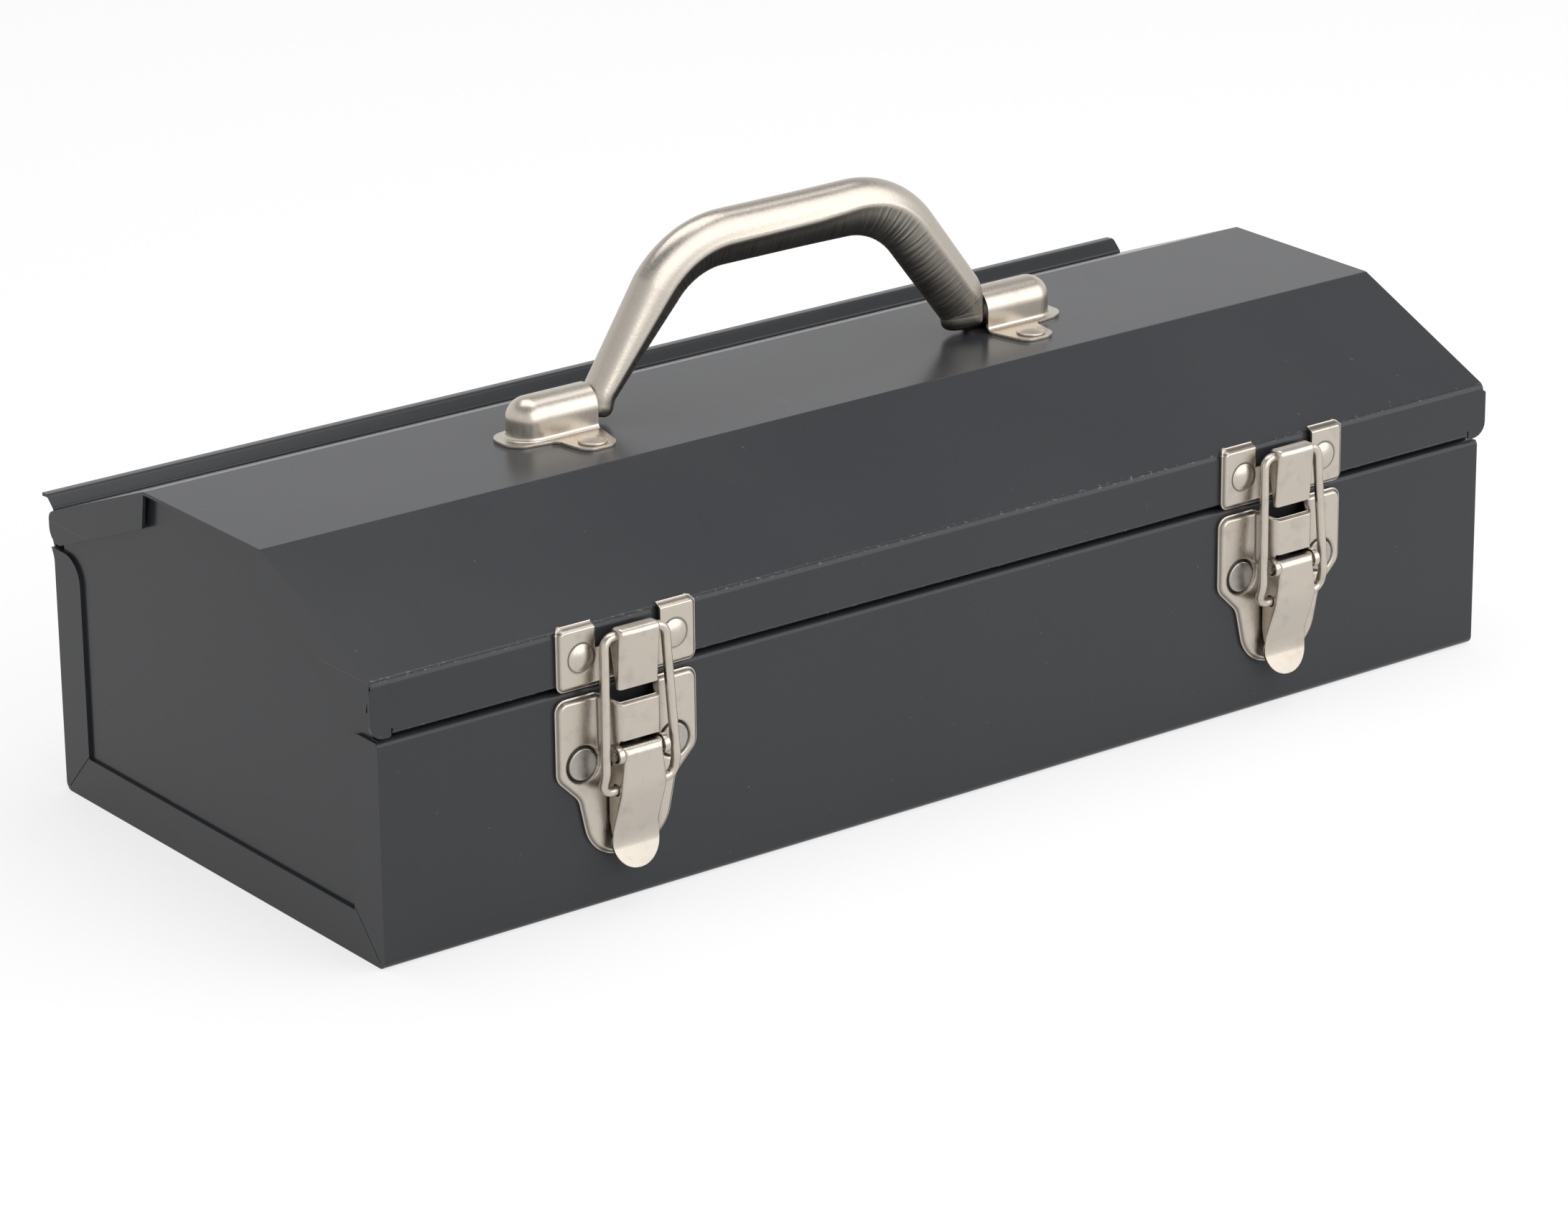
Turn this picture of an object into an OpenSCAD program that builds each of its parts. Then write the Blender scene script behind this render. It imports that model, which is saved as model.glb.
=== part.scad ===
// Steel toolbox with a hipped lid: a folded case with riveted draw latches, a lid that
// turns on a full-length hinge rod, and a carrying handle that folds down on its brackets.
// X runs along the length, the front is at -Y, and the case stands on Z = 0.

/* [Case] */
// Length over the folded end tabs
case_l = 400; // [320:1:520]
// Depth over the front and rear walls
case_d = 167.4; // [155:0.2:190]
// Height of the front wall up to its step
wall_h = 66.4; // [64:0.2:72]
// Thickness of the case and lid steel
sheet = 1; // [0.8:0.1:1.2]
// Outside radius of the folds in the case
fold_r = 2.5; // [1.6:0.1:4]
// How far the front wall steps in behind the lid
step_in = 4; // [3.6:0.1:6]
// Height of the inner lip above that step
lip_h = 14; // [8:0.5:15]
// Width of the tab folded round each end at the front
tab_front = 14; // [8:0.5:20]
// Width of the tab folded up from the bottom
tab_bottom = 13.4; // [8:0.2:18]
// Width of the tab folded round each end at the rear
tab_rear = 13.7; // [9:0.1:20]
// Inward flange along the sloping edges of the end panels
rim_w = 8; // [4:0.5:14]

/* [Lid] */
// Height of the flat top
roof_h = 106.7; // [102:0.1:114]
// Front ridge, from the middle of the depth
ridge_front = 30.8; // [24:0.1:38]
// Rear ridge, from the middle of the depth
ridge_rear = 29.8; // [24:0.1:38]
// Height of the front flange up to the roof
flange_h = 15.66; // [15:0.02:17]
// Outside radius of the two ridges
ridge_r = 2; // [1.2:0.1:5]
// Gap between the lid's front flange and the step of the case
flange_gap = 1.6; // [1:0.1:2.5]
// How far the front flange stands proud of the front wall
flange_out = 0.6; // [0.2:0.1:1.2]
// Height of the hem folded up inside the front flange
hem_h = 12; // [10:0.5:13]
// Width of the ears folded down over the ends
ear_w = 10.3; // [6:0.1:14]
// Running gap between the lid and the case
lid_gap = 0.3; // [0.2:0.05:0.5]

/* [Hinge] */
// Diameter of the hinge rod
rod_d = 3.4; // [2.6:0.1:3.6]
// Diameter of the rod's turned-down ends
spigot_d = 2; // [1.4:0.1:2.2]
// Distance of the hinge rod from the rear wall
hinge_in = 4.8; // [4.6:0.1:6]
// Height of the hinge rod
hinge_z = 84.7; // [82:0.1:86]
// Radial running clearance of a pin in its knuckle
run = 0.1; // [0.05:0.01:0.1]
// How far the rear wall bulges out behind the hinge
bulge = 2.2; // [1.8:0.1:3]
// Length of the flared lip above the hinge
flare = 4.2; // [3:0.1:6]
// Width of the level edge at the top of the flared lip
flare_edge = 2.8; // [2:0.1:4]

/* [Latches] */
// Distance of each latch from the end of the case
latch_in = 80.8; // [40:0.1:130]
// Width of the strike plate on the lid
strike_w = 46.8; // [46:0.2:54]
// How far the strike plate stands out from the lid
strike_out = 2; // [1.7:0.1:2.4]
// Distance between the two rivets of a strike plate
strike_pitch = 31.4; // [31:0.1:33]
// Width of the latch base plate on the case
base_w = 47.6; // [46:0.2:54]
// Top edge of the latch base plate
base_top = 64.4; // [60:0.2:65]
// Bottom edge of the latch base plate
base_bottom = 15; // [12:0.2:20]
// Height of the base plate's straight sides
base_side = 23.2; // [21:0.2:26]
// Width of the base plate at its waist
waist_w = 33; // [30:0.2:36]
// Width of the base plate at its foot
foot_w = 24.8; // [22:0.2:28]
// How far the base plate stands out from the case
base_out = 2.2; // [1.6:0.1:2.6]
// Distance between the two rivets of a base plate
base_pitch = 31; // [30.6:0.1:34]
// Slope of the pressed rim round both plates, measured across it
rim_slope = 1.5; // [0.9:0.1:1.8]
// Steel thickness of the latch parts
latch_t = 1; // [0.8:0.05:1.1]
// Outside width of the lever at its pivot
lever_w = 13; // [12:0.1:13.6]
// Outside width of the lever where the bail hooks in
lever_low_w = 15.2; // [13.6:0.1:16]
// Height of the lever's pivot
pivot_z = 46.8; // [45:0.1:48]
// Distance of the lever's pivot from the front wall
pivot_out = 7.4; // [7.2:0.1:8.4]
// Diameter of the lever's pivot pin
pin_d = 2.9; // [2:0.1:3]
// Length of the lever below its pivot
lever_l = 35; // [32:0.1:38]
// Drop from the lever's pivot to the bail's pivot
bail_drop = 10.5; // [9:0.1:12]
// Wire diameter of the bail
wire_d = 2.8; // [2:0.1:3]
// Height of the bail from its pivot to its top bar
bail_h = 44.8; // [42:0.1:46]
// Height of the claw's lower edge
claw_low = 65.8; // [65.6:0.1:70]

/* [Handle] */
// Distance of the handle's two legs from the middle, at the pivot
leg_x = 66.5; // [60:0.5:80]
// Distance from the middle to the bends above the grip
grip_x = 37; // [30:0.5:45]
// Height of the grip's centre line above the pivot
grip_rise = 40.7; // [34:0.1:46]
// Width of the handle's section across the case
grip_w = 12; // [10:0.2:12.4]
// Height of the handle's section at the grip
grip_t = 16.8; // [12:0.2:19]
// Outside radius of the bracket hoods
hood_r = 6.5; // [6:0.1:7]
// Length of a bracket hood
hood_l = 26.4; // [24:0.2:34]
// Steel thickness of the brackets
hood_t = 1; // [0.8:0.1:1.2]
// Distance of the bracket rivets from the pivot line
ear_y = 15.8; // [14.5:0.1:18]

/* [Rivets] */
// Head diameter of the strike and bracket rivets
head_d = 8; // [7:0.1:8.4]
// Head diameter of the base plate rivets
base_head_d = 9.2; // [8:0.1:9.6]
// Shank diameter of all rivets
shank_d = 4; // [3:0.1:4.6]
// Clearance round a rivet shank
shank_fit = 0.05; // [0.02:0.01:0.1]

/* [Hidden] */

paint = [0.27, 0.28, 0.3];
nickel = [0.76, 0.71, 0.65];
$fn = 48;
bend_step = 15;
far = 300;
eps = 0.01;
fit = 0.05;
lap = 0.2;

front_y = -case_d / 2;
rear_y = case_d / 2;
end_x = case_l / 2;
latch_x = end_x - latch_in;
panel_x = end_x - sheet;
lid_y = front_y - flange_out;
ear_x = end_x + lid_gap;
lid_end_x = ear_x + sheet;
flange_end_x = lid_end_x + 1.1;
hem_end_x = flange_end_x - 6.7;
curl_end_x = panel_x - sheet - lid_gap;
flange_z = wall_h + flange_gap;

// Hinge axis: the lid's curl is tangent to the rear slope, inside the rear wall's bulge
rod_r = rod_d / 2;
curl_r = rod_r + run + sheet - 0.03;
hinge_y = rear_y - hinge_in;
ridge_to_rod = [hinge_y - ridge_rear, hinge_z - roof_h];
pitch_rear = atan2(-ridge_to_rod.y, ridge_to_rod.x) - asin(curl_r / norm(ridge_to_rod));
slope_n = [sin(pitch_rear), cos(pitch_rear)];
curl_top = [hinge_y, hinge_z] + slope_n * curl_r;
fold_z = flange_z + flange_h;
pitch_front = atan2(roof_h - fold_z, -lid_y - ridge_front);

// Latch levels, all from the front wall
strike_y = lid_y - strike_out;
base_y = front_y - base_out;
pivot_y = front_y - pivot_out;
eye_r = pin_d / 2 + run + latch_t;
bail_z = pivot_z - bail_drop;
bail_y = pivot_y + 1.1;
wire_r = wire_d / 2;
bail_tilt = 2.9;
bail_bow = 1.7;
leg_low = lever_low_w / 2 + 4.5;
leg_high = leg_low - 1.9;
hook_in = lever_low_w / 2 - latch_t - 0.4;
bar_y = bail_y - bail_bow * cos(bail_tilt) + bail_h * sin(bail_tilt);
bar_z = bail_z + bail_bow * sin(bail_tilt) + bail_h * cos(bail_tilt);
claw_w = lever_w + 0.7;
claw_r = wire_r + fit + latch_t;
claw_face = claw_r + 1;

// Handle levels
handle_z = roof_h + hood_r - 0.1;
hood_in = leg_x + 5;
hood_out = hood_in + hood_l;
trunnion_r = hood_r - hood_t - lid_gap;
rivet_x = hood_in + 8.7;

function unit(v) = v / norm(v);
function left(d) = [-d.y, d.x];
function turned(v, a) = [v.x * cos(a) - v.y * sin(a), v.x * sin(a) + v.y * cos(a)];

// Points of one rounded corner, moved off the path to its left
function corner(a, b, c, r, off) =
  let(d1 = unit(b - a), d2 = unit(c - b))
  let(phi = atan2(d1.x * d2.y - d1.y * d2.x, d1 * d2), s = sign(phi))
  let(centre = b - d1 * r * tan(abs(phi) / 2) + left(d1) * s * r)
  let(v = -left(d1) * s * (r - s * off), k = max(1, ceil(abs(phi) / bend_step)))
  r - s * off < 0.05
    ? [b + (left(d1) + left(d2)) * off / (1 + left(d1) * left(d2))]
    : [for (j = [0:k]) centre + turned(v, phi * j / k)];

// An open path with rounded corners, moved to its left
function line_at(p, r, off) =
  let(n = len(p) - 1)
  concat(
    [p[0] + left(unit(p[1] - p[0])) * off],
    [for (i = [1:n - 1]) each corner(p[i - 1], p[i], p[i + 1], r[i], off)],
    [p[n] + left(unit(p[n] - p[n - 1])) * off]
  );
function reversed(p) = [for (i = [len(p) - 1:-1:0]) p[i]];

// Section of a folded sheet: the path and its copy one thickness to the left
function strip(p, r, t) = concat(line_at(p, r, 0), reversed(line_at(p, r, t)));

// A closed outline with rounded corners, moved to its left
function closed(p, r, off = 0) =
  let(n = len(p))
  [for (i = [0:n - 1]) each corner(p[(i + n - 1) % n], p[i], p[(i + 1) % n], r[i], off)];

// Extrude a Y-Z section along X between two ends
module along_x(x0, x1) {
  translate([x0, 0, 0]) rotate([90, 0, 90]) linear_extrude(x1 - x0) children();
}

// Extrude an X-Z outline along Y from the rear face to the front face
module along_y(y_rear, y_front) {
  translate([0, y_rear, 0]) rotate([90, 0, 0]) linear_extrude(y_rear - y_front) children();
}

// A pin or bore along X, centred on a Y-Z point
module x_pin(y, z, r, x0, x1) {
  translate([x0, y, z]) rotate([0, 90, 0]) cylinder(h = x1 - x0, r = r);
}

// Solid through a list of rings with the same number of points
module skin(rings) {
  n = len(rings[0]);
  m = len(rings);
  polyhedron(
    points = [for (ring = rings) each ring],
    faces = concat(
      [[for (i = [0:n - 1]) i]],
      [[for (i = [n - 1:-1:0]) (m - 1) * n + i]],
      [for (k = [0:m - 2]) for (i = [0:n - 1])
        let(j = (i + 1) % n) each [[k * n + i, (k + 1) * n + i, k * n + j],
          [k * n + j, (k + 1) * n + i, (k + 1) * n + j]]]
    )
  );
}

// Case: one sheet from the inner front lip, under the bottom, to the flared rear lip
bulge_y = rear_y + bulge;
flare_a = 44;
neck = [rear_y + 0.9, hinge_z + 0.95];
flare_top = neck + turned([flare, 0], flare_a);
case_path = [
  [front_y + step_in, wall_h + lip_h], [front_y + step_in, wall_h], [front_y, wall_h],
  [front_y, 0], [rear_y, 0], [rear_y, hinge_z - 13.2], [bulge_y, hinge_z - 8.4],
  [bulge_y, hinge_z - 1.2], neck
];
case_r = [0, 0.5, 1.8, fold_r, fold_r, 6, 4, 2, 0];
wall_path = concat(case_path, [flare_top, flare_top + [flare_edge, -0.25]]);
wall_r = concat([for (i = [0:7]) case_r[i]], [0.6, 1.3, 0]);

module body_section() {
  polygon(strip(wall_path, wall_r, sheet));
}

// The tabs cover the ends outside this window
module tab_window() {
  polygon(closed([
    [-far, wall_h - 0.3], [front_y + tab_front, wall_h - 0.3], [front_y + tab_front, tab_bottom],
    [rear_y - tab_rear, tab_bottom], [rear_y - tab_rear, hinge_z - 10.2], [far, hinge_z - 10.2],
    [far, far], [-far, far]
  ], [0.1, 5, 0.3, 0.3, 8, 0.1, 0.1, 0.1]));
}

module mitre(y, side) {
  translate([y, 0]) rotate(side * 43) translate([-0.12, 2.2]) square([0.24, 17]);
}

module end_tabs() {
  difference() {
    polygon(concat(line_at(case_path, case_r, 0), [[0, far]]));
    tab_window();
    mitre(front_y + 0.6, -1);
    mitre(rear_y - 0.6, 1);
  }
}

module latch_holes(y_in, y_out, pitch, z) {
  for (side = [-1, 1], half = [-0.5, 0.5])
    translate([side * latch_x + half * pitch, y_in, z]) rotate([90, 0, 0])
      cylinder(h = y_in - y_out, d = shank_d + 2 * shank_fit);
}

module body_shell() {
  color(paint) difference() {
    union() {
      along_x(-panel_x, panel_x) body_section();
      for (side = [-1, 1])
        along_x(side * (end_x - sheet / 2) - sheet / 2, side * (end_x - sheet / 2) + sheet / 2)
          end_tabs();
    }
    latch_holes(front_y + sheet + 1, front_y - 1, base_pitch, base_rivet_z);
  }
}

// Lid section, from the front flange over the roof to the hinge
roof_path = [
  [lid_y, fold_z - 4], [lid_y, fold_z], [-ridge_front, roof_h], [ridge_rear, roof_h], curl_top
];
roof_r = [0, 2.5, ridge_r, ridge_r, 0];

// End panels: a flat plate inside the tabs, with its roof edge just under the lid
module under_roof(drop) {
  polygon(concat(line_at(roof_path, roof_r, -drop), [[curl_top.x + drop * 2, -far], [lid_y, -far]]));
}

module panel_outline() {
  intersection() {
    polygon(concat(line_at(case_path, case_r, sheet + fit),
      [[rear_y - 1, far], [front_y + step_in + sheet + fit, far]]));
    under_roof(sheet + lid_gap);
    translate([-far, 0]) square([far + neck.x - sheet - 0.6, far]);
  }
}

module end_panel(side) {
  color(paint) difference() {
    union() {
      along_x(min(side * panel_x, side * (panel_x - sheet)), max(side * panel_x, side * (panel_x - sheet)))
        panel_outline();
      along_x(min(side * panel_x, side * (panel_x - rim_w)), max(side * panel_x, side * (panel_x - rim_w)))
        intersection() {
          difference() {
            panel_outline();
            under_roof(2 * sheet + lid_gap);
          }
          translate([front_y + 8, hinge_z - 10])
            square([hinge_y - curl_r - 2 * sheet - front_y - 8, far]);
        }
    }
    x_pin(hinge_y, hinge_z, spigot_d / 2 + fit, side * panel_x - 2, side * panel_x + 2);
  }
}

module hinge_rod() {
  color(nickel) {
    x_pin(hinge_y, hinge_z, rod_r, -curl_end_x, curl_end_x);
    x_pin(hinge_y, hinge_z, spigot_d / 2, -panel_x, panel_x);
  }
}

// Lid
// The rear edge is rolled round the hinge rod, starting on the slope
curl_turn = 285;
curl_path = concat(
  [curl_top - turned([4, 0], -pitch_rear)],
  [for (a = [0:bend_step:curl_turn]) [hinge_y, hinge_z] + turned([curl_r, 0], 90 - pitch_rear - a)]
);
curl_rr = [for (p = curl_path) 0];

module front_ear() {
  t = tan(pitch_front);
  drop = ear_w / cos(pitch_front);
  low = fold_z + 3.4 * t - drop;
  polygon(closed([
    [lid_y + 1.2, fold_z + 0.2], [lid_y + 3.6, low + 0.4], [lid_y + 5, low + 0.6],
    [4.6 - ridge_front, roof_h + 4.4 * t - drop - 1], [1.9 - ridge_front, roof_h - 0.2],
    [-ridge_front, roof_h - 0.1]
  ], [0.3, 0.5, 0.5, 0.3, 0.2, 0.3]));
}

module rear_ear() {
  drop = ear_w / cos(pitch_rear);
  back = rear_y - 0.2;
  slope_z = roof_h - (back - ridge_rear) * tan(pitch_rear);
  polygon(closed([
    [ridge_rear, roof_h - 0.1], [ridge_rear + 1.6, roof_h - drop - 0.4], [back, slope_z - drop],
    [back, slope_z - 0.1]
  ], [0.3, 0.3, 4.5, 3]));
}

module flange_outline() {
  polygon(closed([
    [-flange_end_x, fold_z - 1.8], [-flange_end_x, flange_z - 0.6], [-hem_end_x, flange_z - 0.6],
    [-hem_end_x, flange_z + 2], [hem_end_x, flange_z + 2], [hem_end_x, flange_z - 0.6],
    [flange_end_x, flange_z - 0.6], [flange_end_x, fold_z - 1.8]
  ], [1, 4.5, 0.8, 0.3, 0.3, 0.8, 4.5, 1]));
}

module lid_shell() {
  hem_r = sheet + 0.1;
  slit = 0.5;
  color(paint) difference() {
    union() {
      along_x(-lid_end_x, lid_end_x) polygon(strip(roof_path, roof_r, -sheet));
      along_x(-curl_end_x, curl_end_x) polygon(strip(curl_path, curl_rr, -sheet - 0.1));
      along_y(lid_y + sheet, lid_y) flange_outline();
      along_x(slit - hem_end_x, hem_end_x - slit)
        polygon(strip([[lid_y, flange_z + 5], [lid_y, flange_z], [lid_y + 2 * hem_r, flange_z],
          [lid_y + 2 * hem_r, flange_z + hem_h]], [0, hem_r, hem_r, 0], sheet));
      for (side = [-1, 1])
        along_x(side * (ear_x + sheet / 2) - sheet / 2, side * (ear_x + sheet / 2) + sheet / 2) {
          front_ear();
          rear_ear();
        }
    }
    x_pin(hinge_y, hinge_z, rod_r + run, -end_x, end_x);
    latch_holes(lid_y + 2 * hem_r + 1, lid_y - 1, strike_pitch, strike_rivet_z);
    for (side = [-1, 1], row = [-1, 1])
      translate([side * rivet_x, row * ear_y, roof_h - sheet - 1])
        cylinder(h = sheet + 2, d = shank_d + 2 * shank_fit);
  }
}

// Rivets: a domed head, a shank and a flat head set on the inside
module rivet(head, grip, edge, dome) {
  bulb = (head * head / 4 + dome * dome) / (2 * dome);
  translate([0, 0, grip + edge]) intersection() {
    translate([0, 0, dome - bulb]) sphere(r = bulb);
    cylinder(h = dome, d = head);
  }
  translate([0, 0, grip]) cylinder(h = edge, d = head);
  cylinder(h = grip, d = shank_d);
  translate([0, 0, -tail_t]) cylinder(h = tail_t, d = shank_d + 2.4);
}

tail_t = 0.9;
strike_rivet_z = flange_z + 8;
base_rivet_z = pivot_z - 2.2;

// A pressed plate with a sloping rim: a stack of layers, each an inset of the outline and its
// distance below the face, and hollow behind
module tray(outline, radii, wall_y, out) {
  rim = [[0, 0.7], [0.4, 0.35], [0.75, 0.12], [1, 0]];
  difference() {
    for (layer = rim)
      along_y(wall_y, wall_y - out * (1 - layer[1])) polygon(closed(outline, radii, layer[0] * rim_slope));
    along_y(wall_y + 1, wall_y - out + latch_t) polygon(closed(outline, radii, latch_t + 0.6 * rim_slope));
  }
}

// A plate is pressed back to its wall round each rivet
module dimple(head) {
  translate([0, 0, latch_t]) cylinder(h = 4, d1 = head + 0.4, d2 = head + 4);
  translate([0, 0, -1]) cylinder(h = 6, d = shank_d + 2 * shank_fit);
}

// Strike plate: a shallow pressing on the lid's flange, cut out between its two wings
wing_in = claw_w / 2 + 4.2;
notch_z = flange_z + 10;
strike_half = strike_w / 2;
strike_low = flange_z - 1.2;
strike_top = fold_z + 1.9;
strike_outline = [
  [-strike_half, strike_top], [-strike_half, strike_low], [strike_half, strike_low], [strike_half, strike_top]
];

module strike_cut() {
  polygon(closed([
    [-wing_in, notch_z], [wing_in, notch_z], [wing_in, strike_top + 2], [-wing_in, strike_top + 2]
  ], [1, 1, 0.1, 0.1]));
}

module strike(side) {
  color(nickel) translate([side * latch_x, 0, 0]) difference() {
    union() {
      tray(strike_outline, [2.2, 2.6, 2.6, 2.2], lid_y, strike_out);
      for (edge = [-1, 1])
        translate([edge * strike_pitch / 2, lid_y, strike_rivet_z]) rotate([90, 0, 0])
          cylinder(h = strike_out - 0.2, d = head_d + 1.6);
    }
    along_y(lid_y + 6, strike_y - 6) strike_cut();
    for (edge = [-1, 1])
      translate([edge * strike_pitch / 2, lid_y, strike_rivet_z]) rotate([90, 0, 0]) dimple(head_d);
  }
}

module strike_rivets(side) {
  grip = latch_t + 2 * (sheet + 0.1);
  color(nickel) for (edge = [-1, 1])
    translate([side * latch_x + edge * strike_pitch / 2, lid_y + 2 * (sheet + 0.1), strike_rivet_z])
      rotate([90, 0, 0]) rivet(head_d, grip, 0.7, 0.9);
}

// Latch base: a shield-shaped pressing with a raised, hollow channel and two rolled eyes
base_half = base_w / 2;
shoulder_z = base_top - base_side;
waist_z = shoulder_z - (base_w - waist_w) / 2;
shield_left = [
  [-base_half, base_top], [-base_half, shoulder_z], [-waist_w / 2, waist_z], [-foot_w / 2, base_bottom]
];
shield_left_r = [3.5, 5, 6, 12.4];
shield = concat(shield_left, [for (i = [3:-1:0]) [-shield_left[i].x, shield_left[i].y]]);
shield_r = concat(shield_left_r, [for (i = [3:-1:0]) shield_left_r[i]]);
channel_w = lever_w - 0.4;
channel_low = pivot_z + eye_r + 1.6;
channel_high = base_top - 1.6;
channel_y = front_y - pivot_out - 0.9;

function channel(grow, top) = closed([
    [-channel_w / 2 - grow, top], [-channel_w / 2 - grow, channel_low - grow / 2],
    [channel_w / 2 + grow, channel_low - grow / 2], [channel_w / 2 + grow, top]
  ], [0.3, 0.6, 0.6, 0.3]);

module eye() {
  translate([pivot_y, pivot_z]) difference() {
    union() {
      circle(r = eye_r);
      translate([0, -eye_r]) square([base_y - pivot_y + 0.2, 2 * eye_r - 0.6]);
    }
    circle(r = pin_d / 2 + fit);
    translate([0, eye_r - latch_t - 0.1]) square([eye_r + 3, 0.3]);
  }
}

module latch_base(side) {
  rise = [[2.4, 0.4, 0.4], [1.5, 1.1, 0.9], [0.8, 2.2, 1.2], [0.3, 3.6, 1.4]];
  color(nickel) translate([side * latch_x, 0, 0]) difference() {
    union() {
      tray(shield, shield_r, front_y, base_out);
      // Each layer of the channel: how much wider it is, its height and its drop from the top edge
      for (layer = rise)
        along_y(front_y, base_y - layer[1]) polygon(channel(layer[0], base_top - layer[2]));
      along_y(front_y, channel_y + 0.6) polygon(channel(0, channel_high));
      along_y(front_y, channel_y) polygon(channel(-0.7, channel_high - 0.6));
      // Pads that reach back to the wall under the rivets
      for (edge = [-1, 1])
        translate([edge * base_pitch / 2, front_y, base_rivet_z]) rotate([90, 0, 0])
          cylinder(h = base_out - 0.2, d = base_head_d + 1.6);
      for (edge = [-1, 1])
        along_x(edge * (lever_w / 2 + lid_gap + eye_w / 2) - eye_w / 2,
          edge * (lever_w / 2 + lid_gap + eye_w / 2) + eye_w / 2) eye();
    }
    // The channel is hollow and open at both ends
    along_y(front_y + 1, channel_y + latch_t)
      translate([-channel_w / 2 + latch_t, channel_low - 3])
        square([channel_w - 2 * latch_t, base_top - channel_low + 6]);
    for (edge = [-1, 1])
      translate([edge * base_pitch / 2, front_y, base_rivet_z]) rotate([90, 0, 0]) dimple(base_head_d);
  }
}
eye_w = 1.7;

module latch_base_rivets(side) {
  color(nickel) for (edge = [-1, 1])
    translate([side * latch_x + edge * base_pitch / 2, front_y + sheet, base_rivet_z])
      rotate([90, 0, 0]) rivet(base_head_d, sheet + latch_t, 0.9, 0.4);
}

module lever_pin(side) {
  reach = lever_w / 2 + lid_gap + eye_w + 0.3;
  color(nickel) translate([side * latch_x, 0, 0]) x_pin(pivot_y, pivot_z, pin_d / 2, -reach, reach);
}

// Lever: a bowed channel with a rolled top, wider below, and a round thumb tongue
tongue_r = lever_low_w / 2 + 0.2;
tip_z = pivot_z - lever_l;
neck_z = tip_z + tongue_r + 1;
neck_out = 2.2;
tip_out = 4.6;
lever_front = pivot_y - eye_r;
lever_path = [
  [lever_front, pivot_z], [lever_front - 0.2, pivot_z - bail_drop], [base_y - neck_out, neck_z],
  [base_y - tip_out, tip_z]
];
lever_r = [0, 14, 9, 0];
roll_start = 165;
roll_end = 240;

function roll(a0, a1) = [for (a = [a0:bend_step:a1]) [pivot_y, pivot_z] + turned([eye_r, 0], a)];
function below(p, z) = [for (q = p) if (q.y < z) q];
function above(p, z) = [for (q = p) if (q.y > z) q];

module lever_section() {
  polygon(concat(roll(0, roll_start), line_at(lever_path, lever_r, 0),
    below(reversed(line_at(lever_path, lever_r, latch_t)), pivot_z - eye_r), roll(roll_end, 345)));
}

// Seen from the front, the lever down to its neck, drawn in by a wall thickness for its inside
module lever_blank(in, z_top, z_low) {
  top = lever_w / 2 - in;
  low = lever_low_w / 2 - in;
  polygon([
    [-top, z_top], [-top, pivot_z - eye_r / 2], [-low, bail_z], [-low, z_low],
    [low, z_low], [low, bail_z], [top, pivot_z - eye_r / 2], [top, z_top]
  ]);
}

module lever_side() {
  back = base_y - 1;
  shoulder = pivot_z - 2 * eye_r;
  polygon(concat(roll(0, roll_start), above(line_at(lever_path, lever_r, 0), neck_z),
    [[base_y - neck_out - 0.4, neck_z], [back, neck_z + 6], [back, shoulder]], roll(330, 330)));
}

module lever(side) {
  color(nickel) translate([side * latch_x, 0, 0]) difference() {
    union() {
      intersection() {
        along_x(-lever_low_w, lever_low_w) lever_section();
        along_y(front_y, front_y - 20) {
          lever_blank(0, pivot_z + eye_r + 1, neck_z);
          translate([0, tip_z + tongue_r]) circle(r = tongue_r);
        }
      }
      intersection() {
        along_x(-lever_low_w, lever_low_w) lever_side();
        along_y(front_y, front_y - 20) difference() {
          lever_blank(0, pivot_z + eye_r + 1, neck_z - 1);
          lever_blank(latch_t, pivot_z + eye_r + 2, neck_z - 2);
        }
      }
    }
    x_pin(pivot_y, pivot_z, pin_d / 2 + run, -lever_low_w, lever_low_w);
    x_pin(bail_y, bail_z, wire_r + run, -lever_low_w, lever_low_w);
  }
}

// Bail: one wire, hooked through the lever's sides, with bends of one radius. Its legs run
// in front of the hooks' line.
wire_bend = 3;
bail_path = [
  [-hook_in, 0], [-leg_low, 0], [-leg_high, bail_h], [leg_high, bail_h], [leg_low, 0], [hook_in, 0]
];

wire_points = 16;
hook_r = wire_r * cos(180 / wire_points) - eps;

module bail(side) {
  bends = [0, wire_bend, wire_bend, wire_bend, wire_bend, 0];
  line = line_at(bail_path, bends, 0);
  n = len(line) - 1;
  function heading(i) = unit(line[min(i + 1, n - 1)] - line[max(i - 1, 1)]);
  function bow(z) = -bail_bow * min(1, z / wire_bend) * min(1, z / wire_bend);
  function ring(p, d) = [for (k = [0:wire_points - 1])
    let(a = 360 * k / wire_points, up = left(d) * sin(a) * wire_r)
    [p.x + up.x, bow(p.y) + cos(a) * wire_r, p.y + up.y]];
  color(nickel) translate([side * latch_x, bail_y, bail_z]) rotate([-bail_tilt, 0, 0]) {
    skin([for (i = [1:n - 1]) ring(line[i], i == 1 ? [-1, 0] : i == n - 1 ? [-1, 0] : heading(i))]);
    x_pin(0, 0, hook_r, line[1].x - lap, -hook_in);
    x_pin(0, 0, hook_r, hook_in, line[n - 1].x + lap);
  }
}

// Claw: a pressed cap rolled over the bail's top bar, with its face in front of the strike
claw_top = bar_z + claw_r;
claw_path = [
  [bar_y + claw_r, bar_z - 1.2], [bar_y + claw_r, claw_top], [bar_y - claw_face, claw_top],
  [bar_y - claw_face + 1.6, claw_low]
];
claw_rr = [0, 0.95 * claw_r, 0.9 * claw_r, 0];

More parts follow.
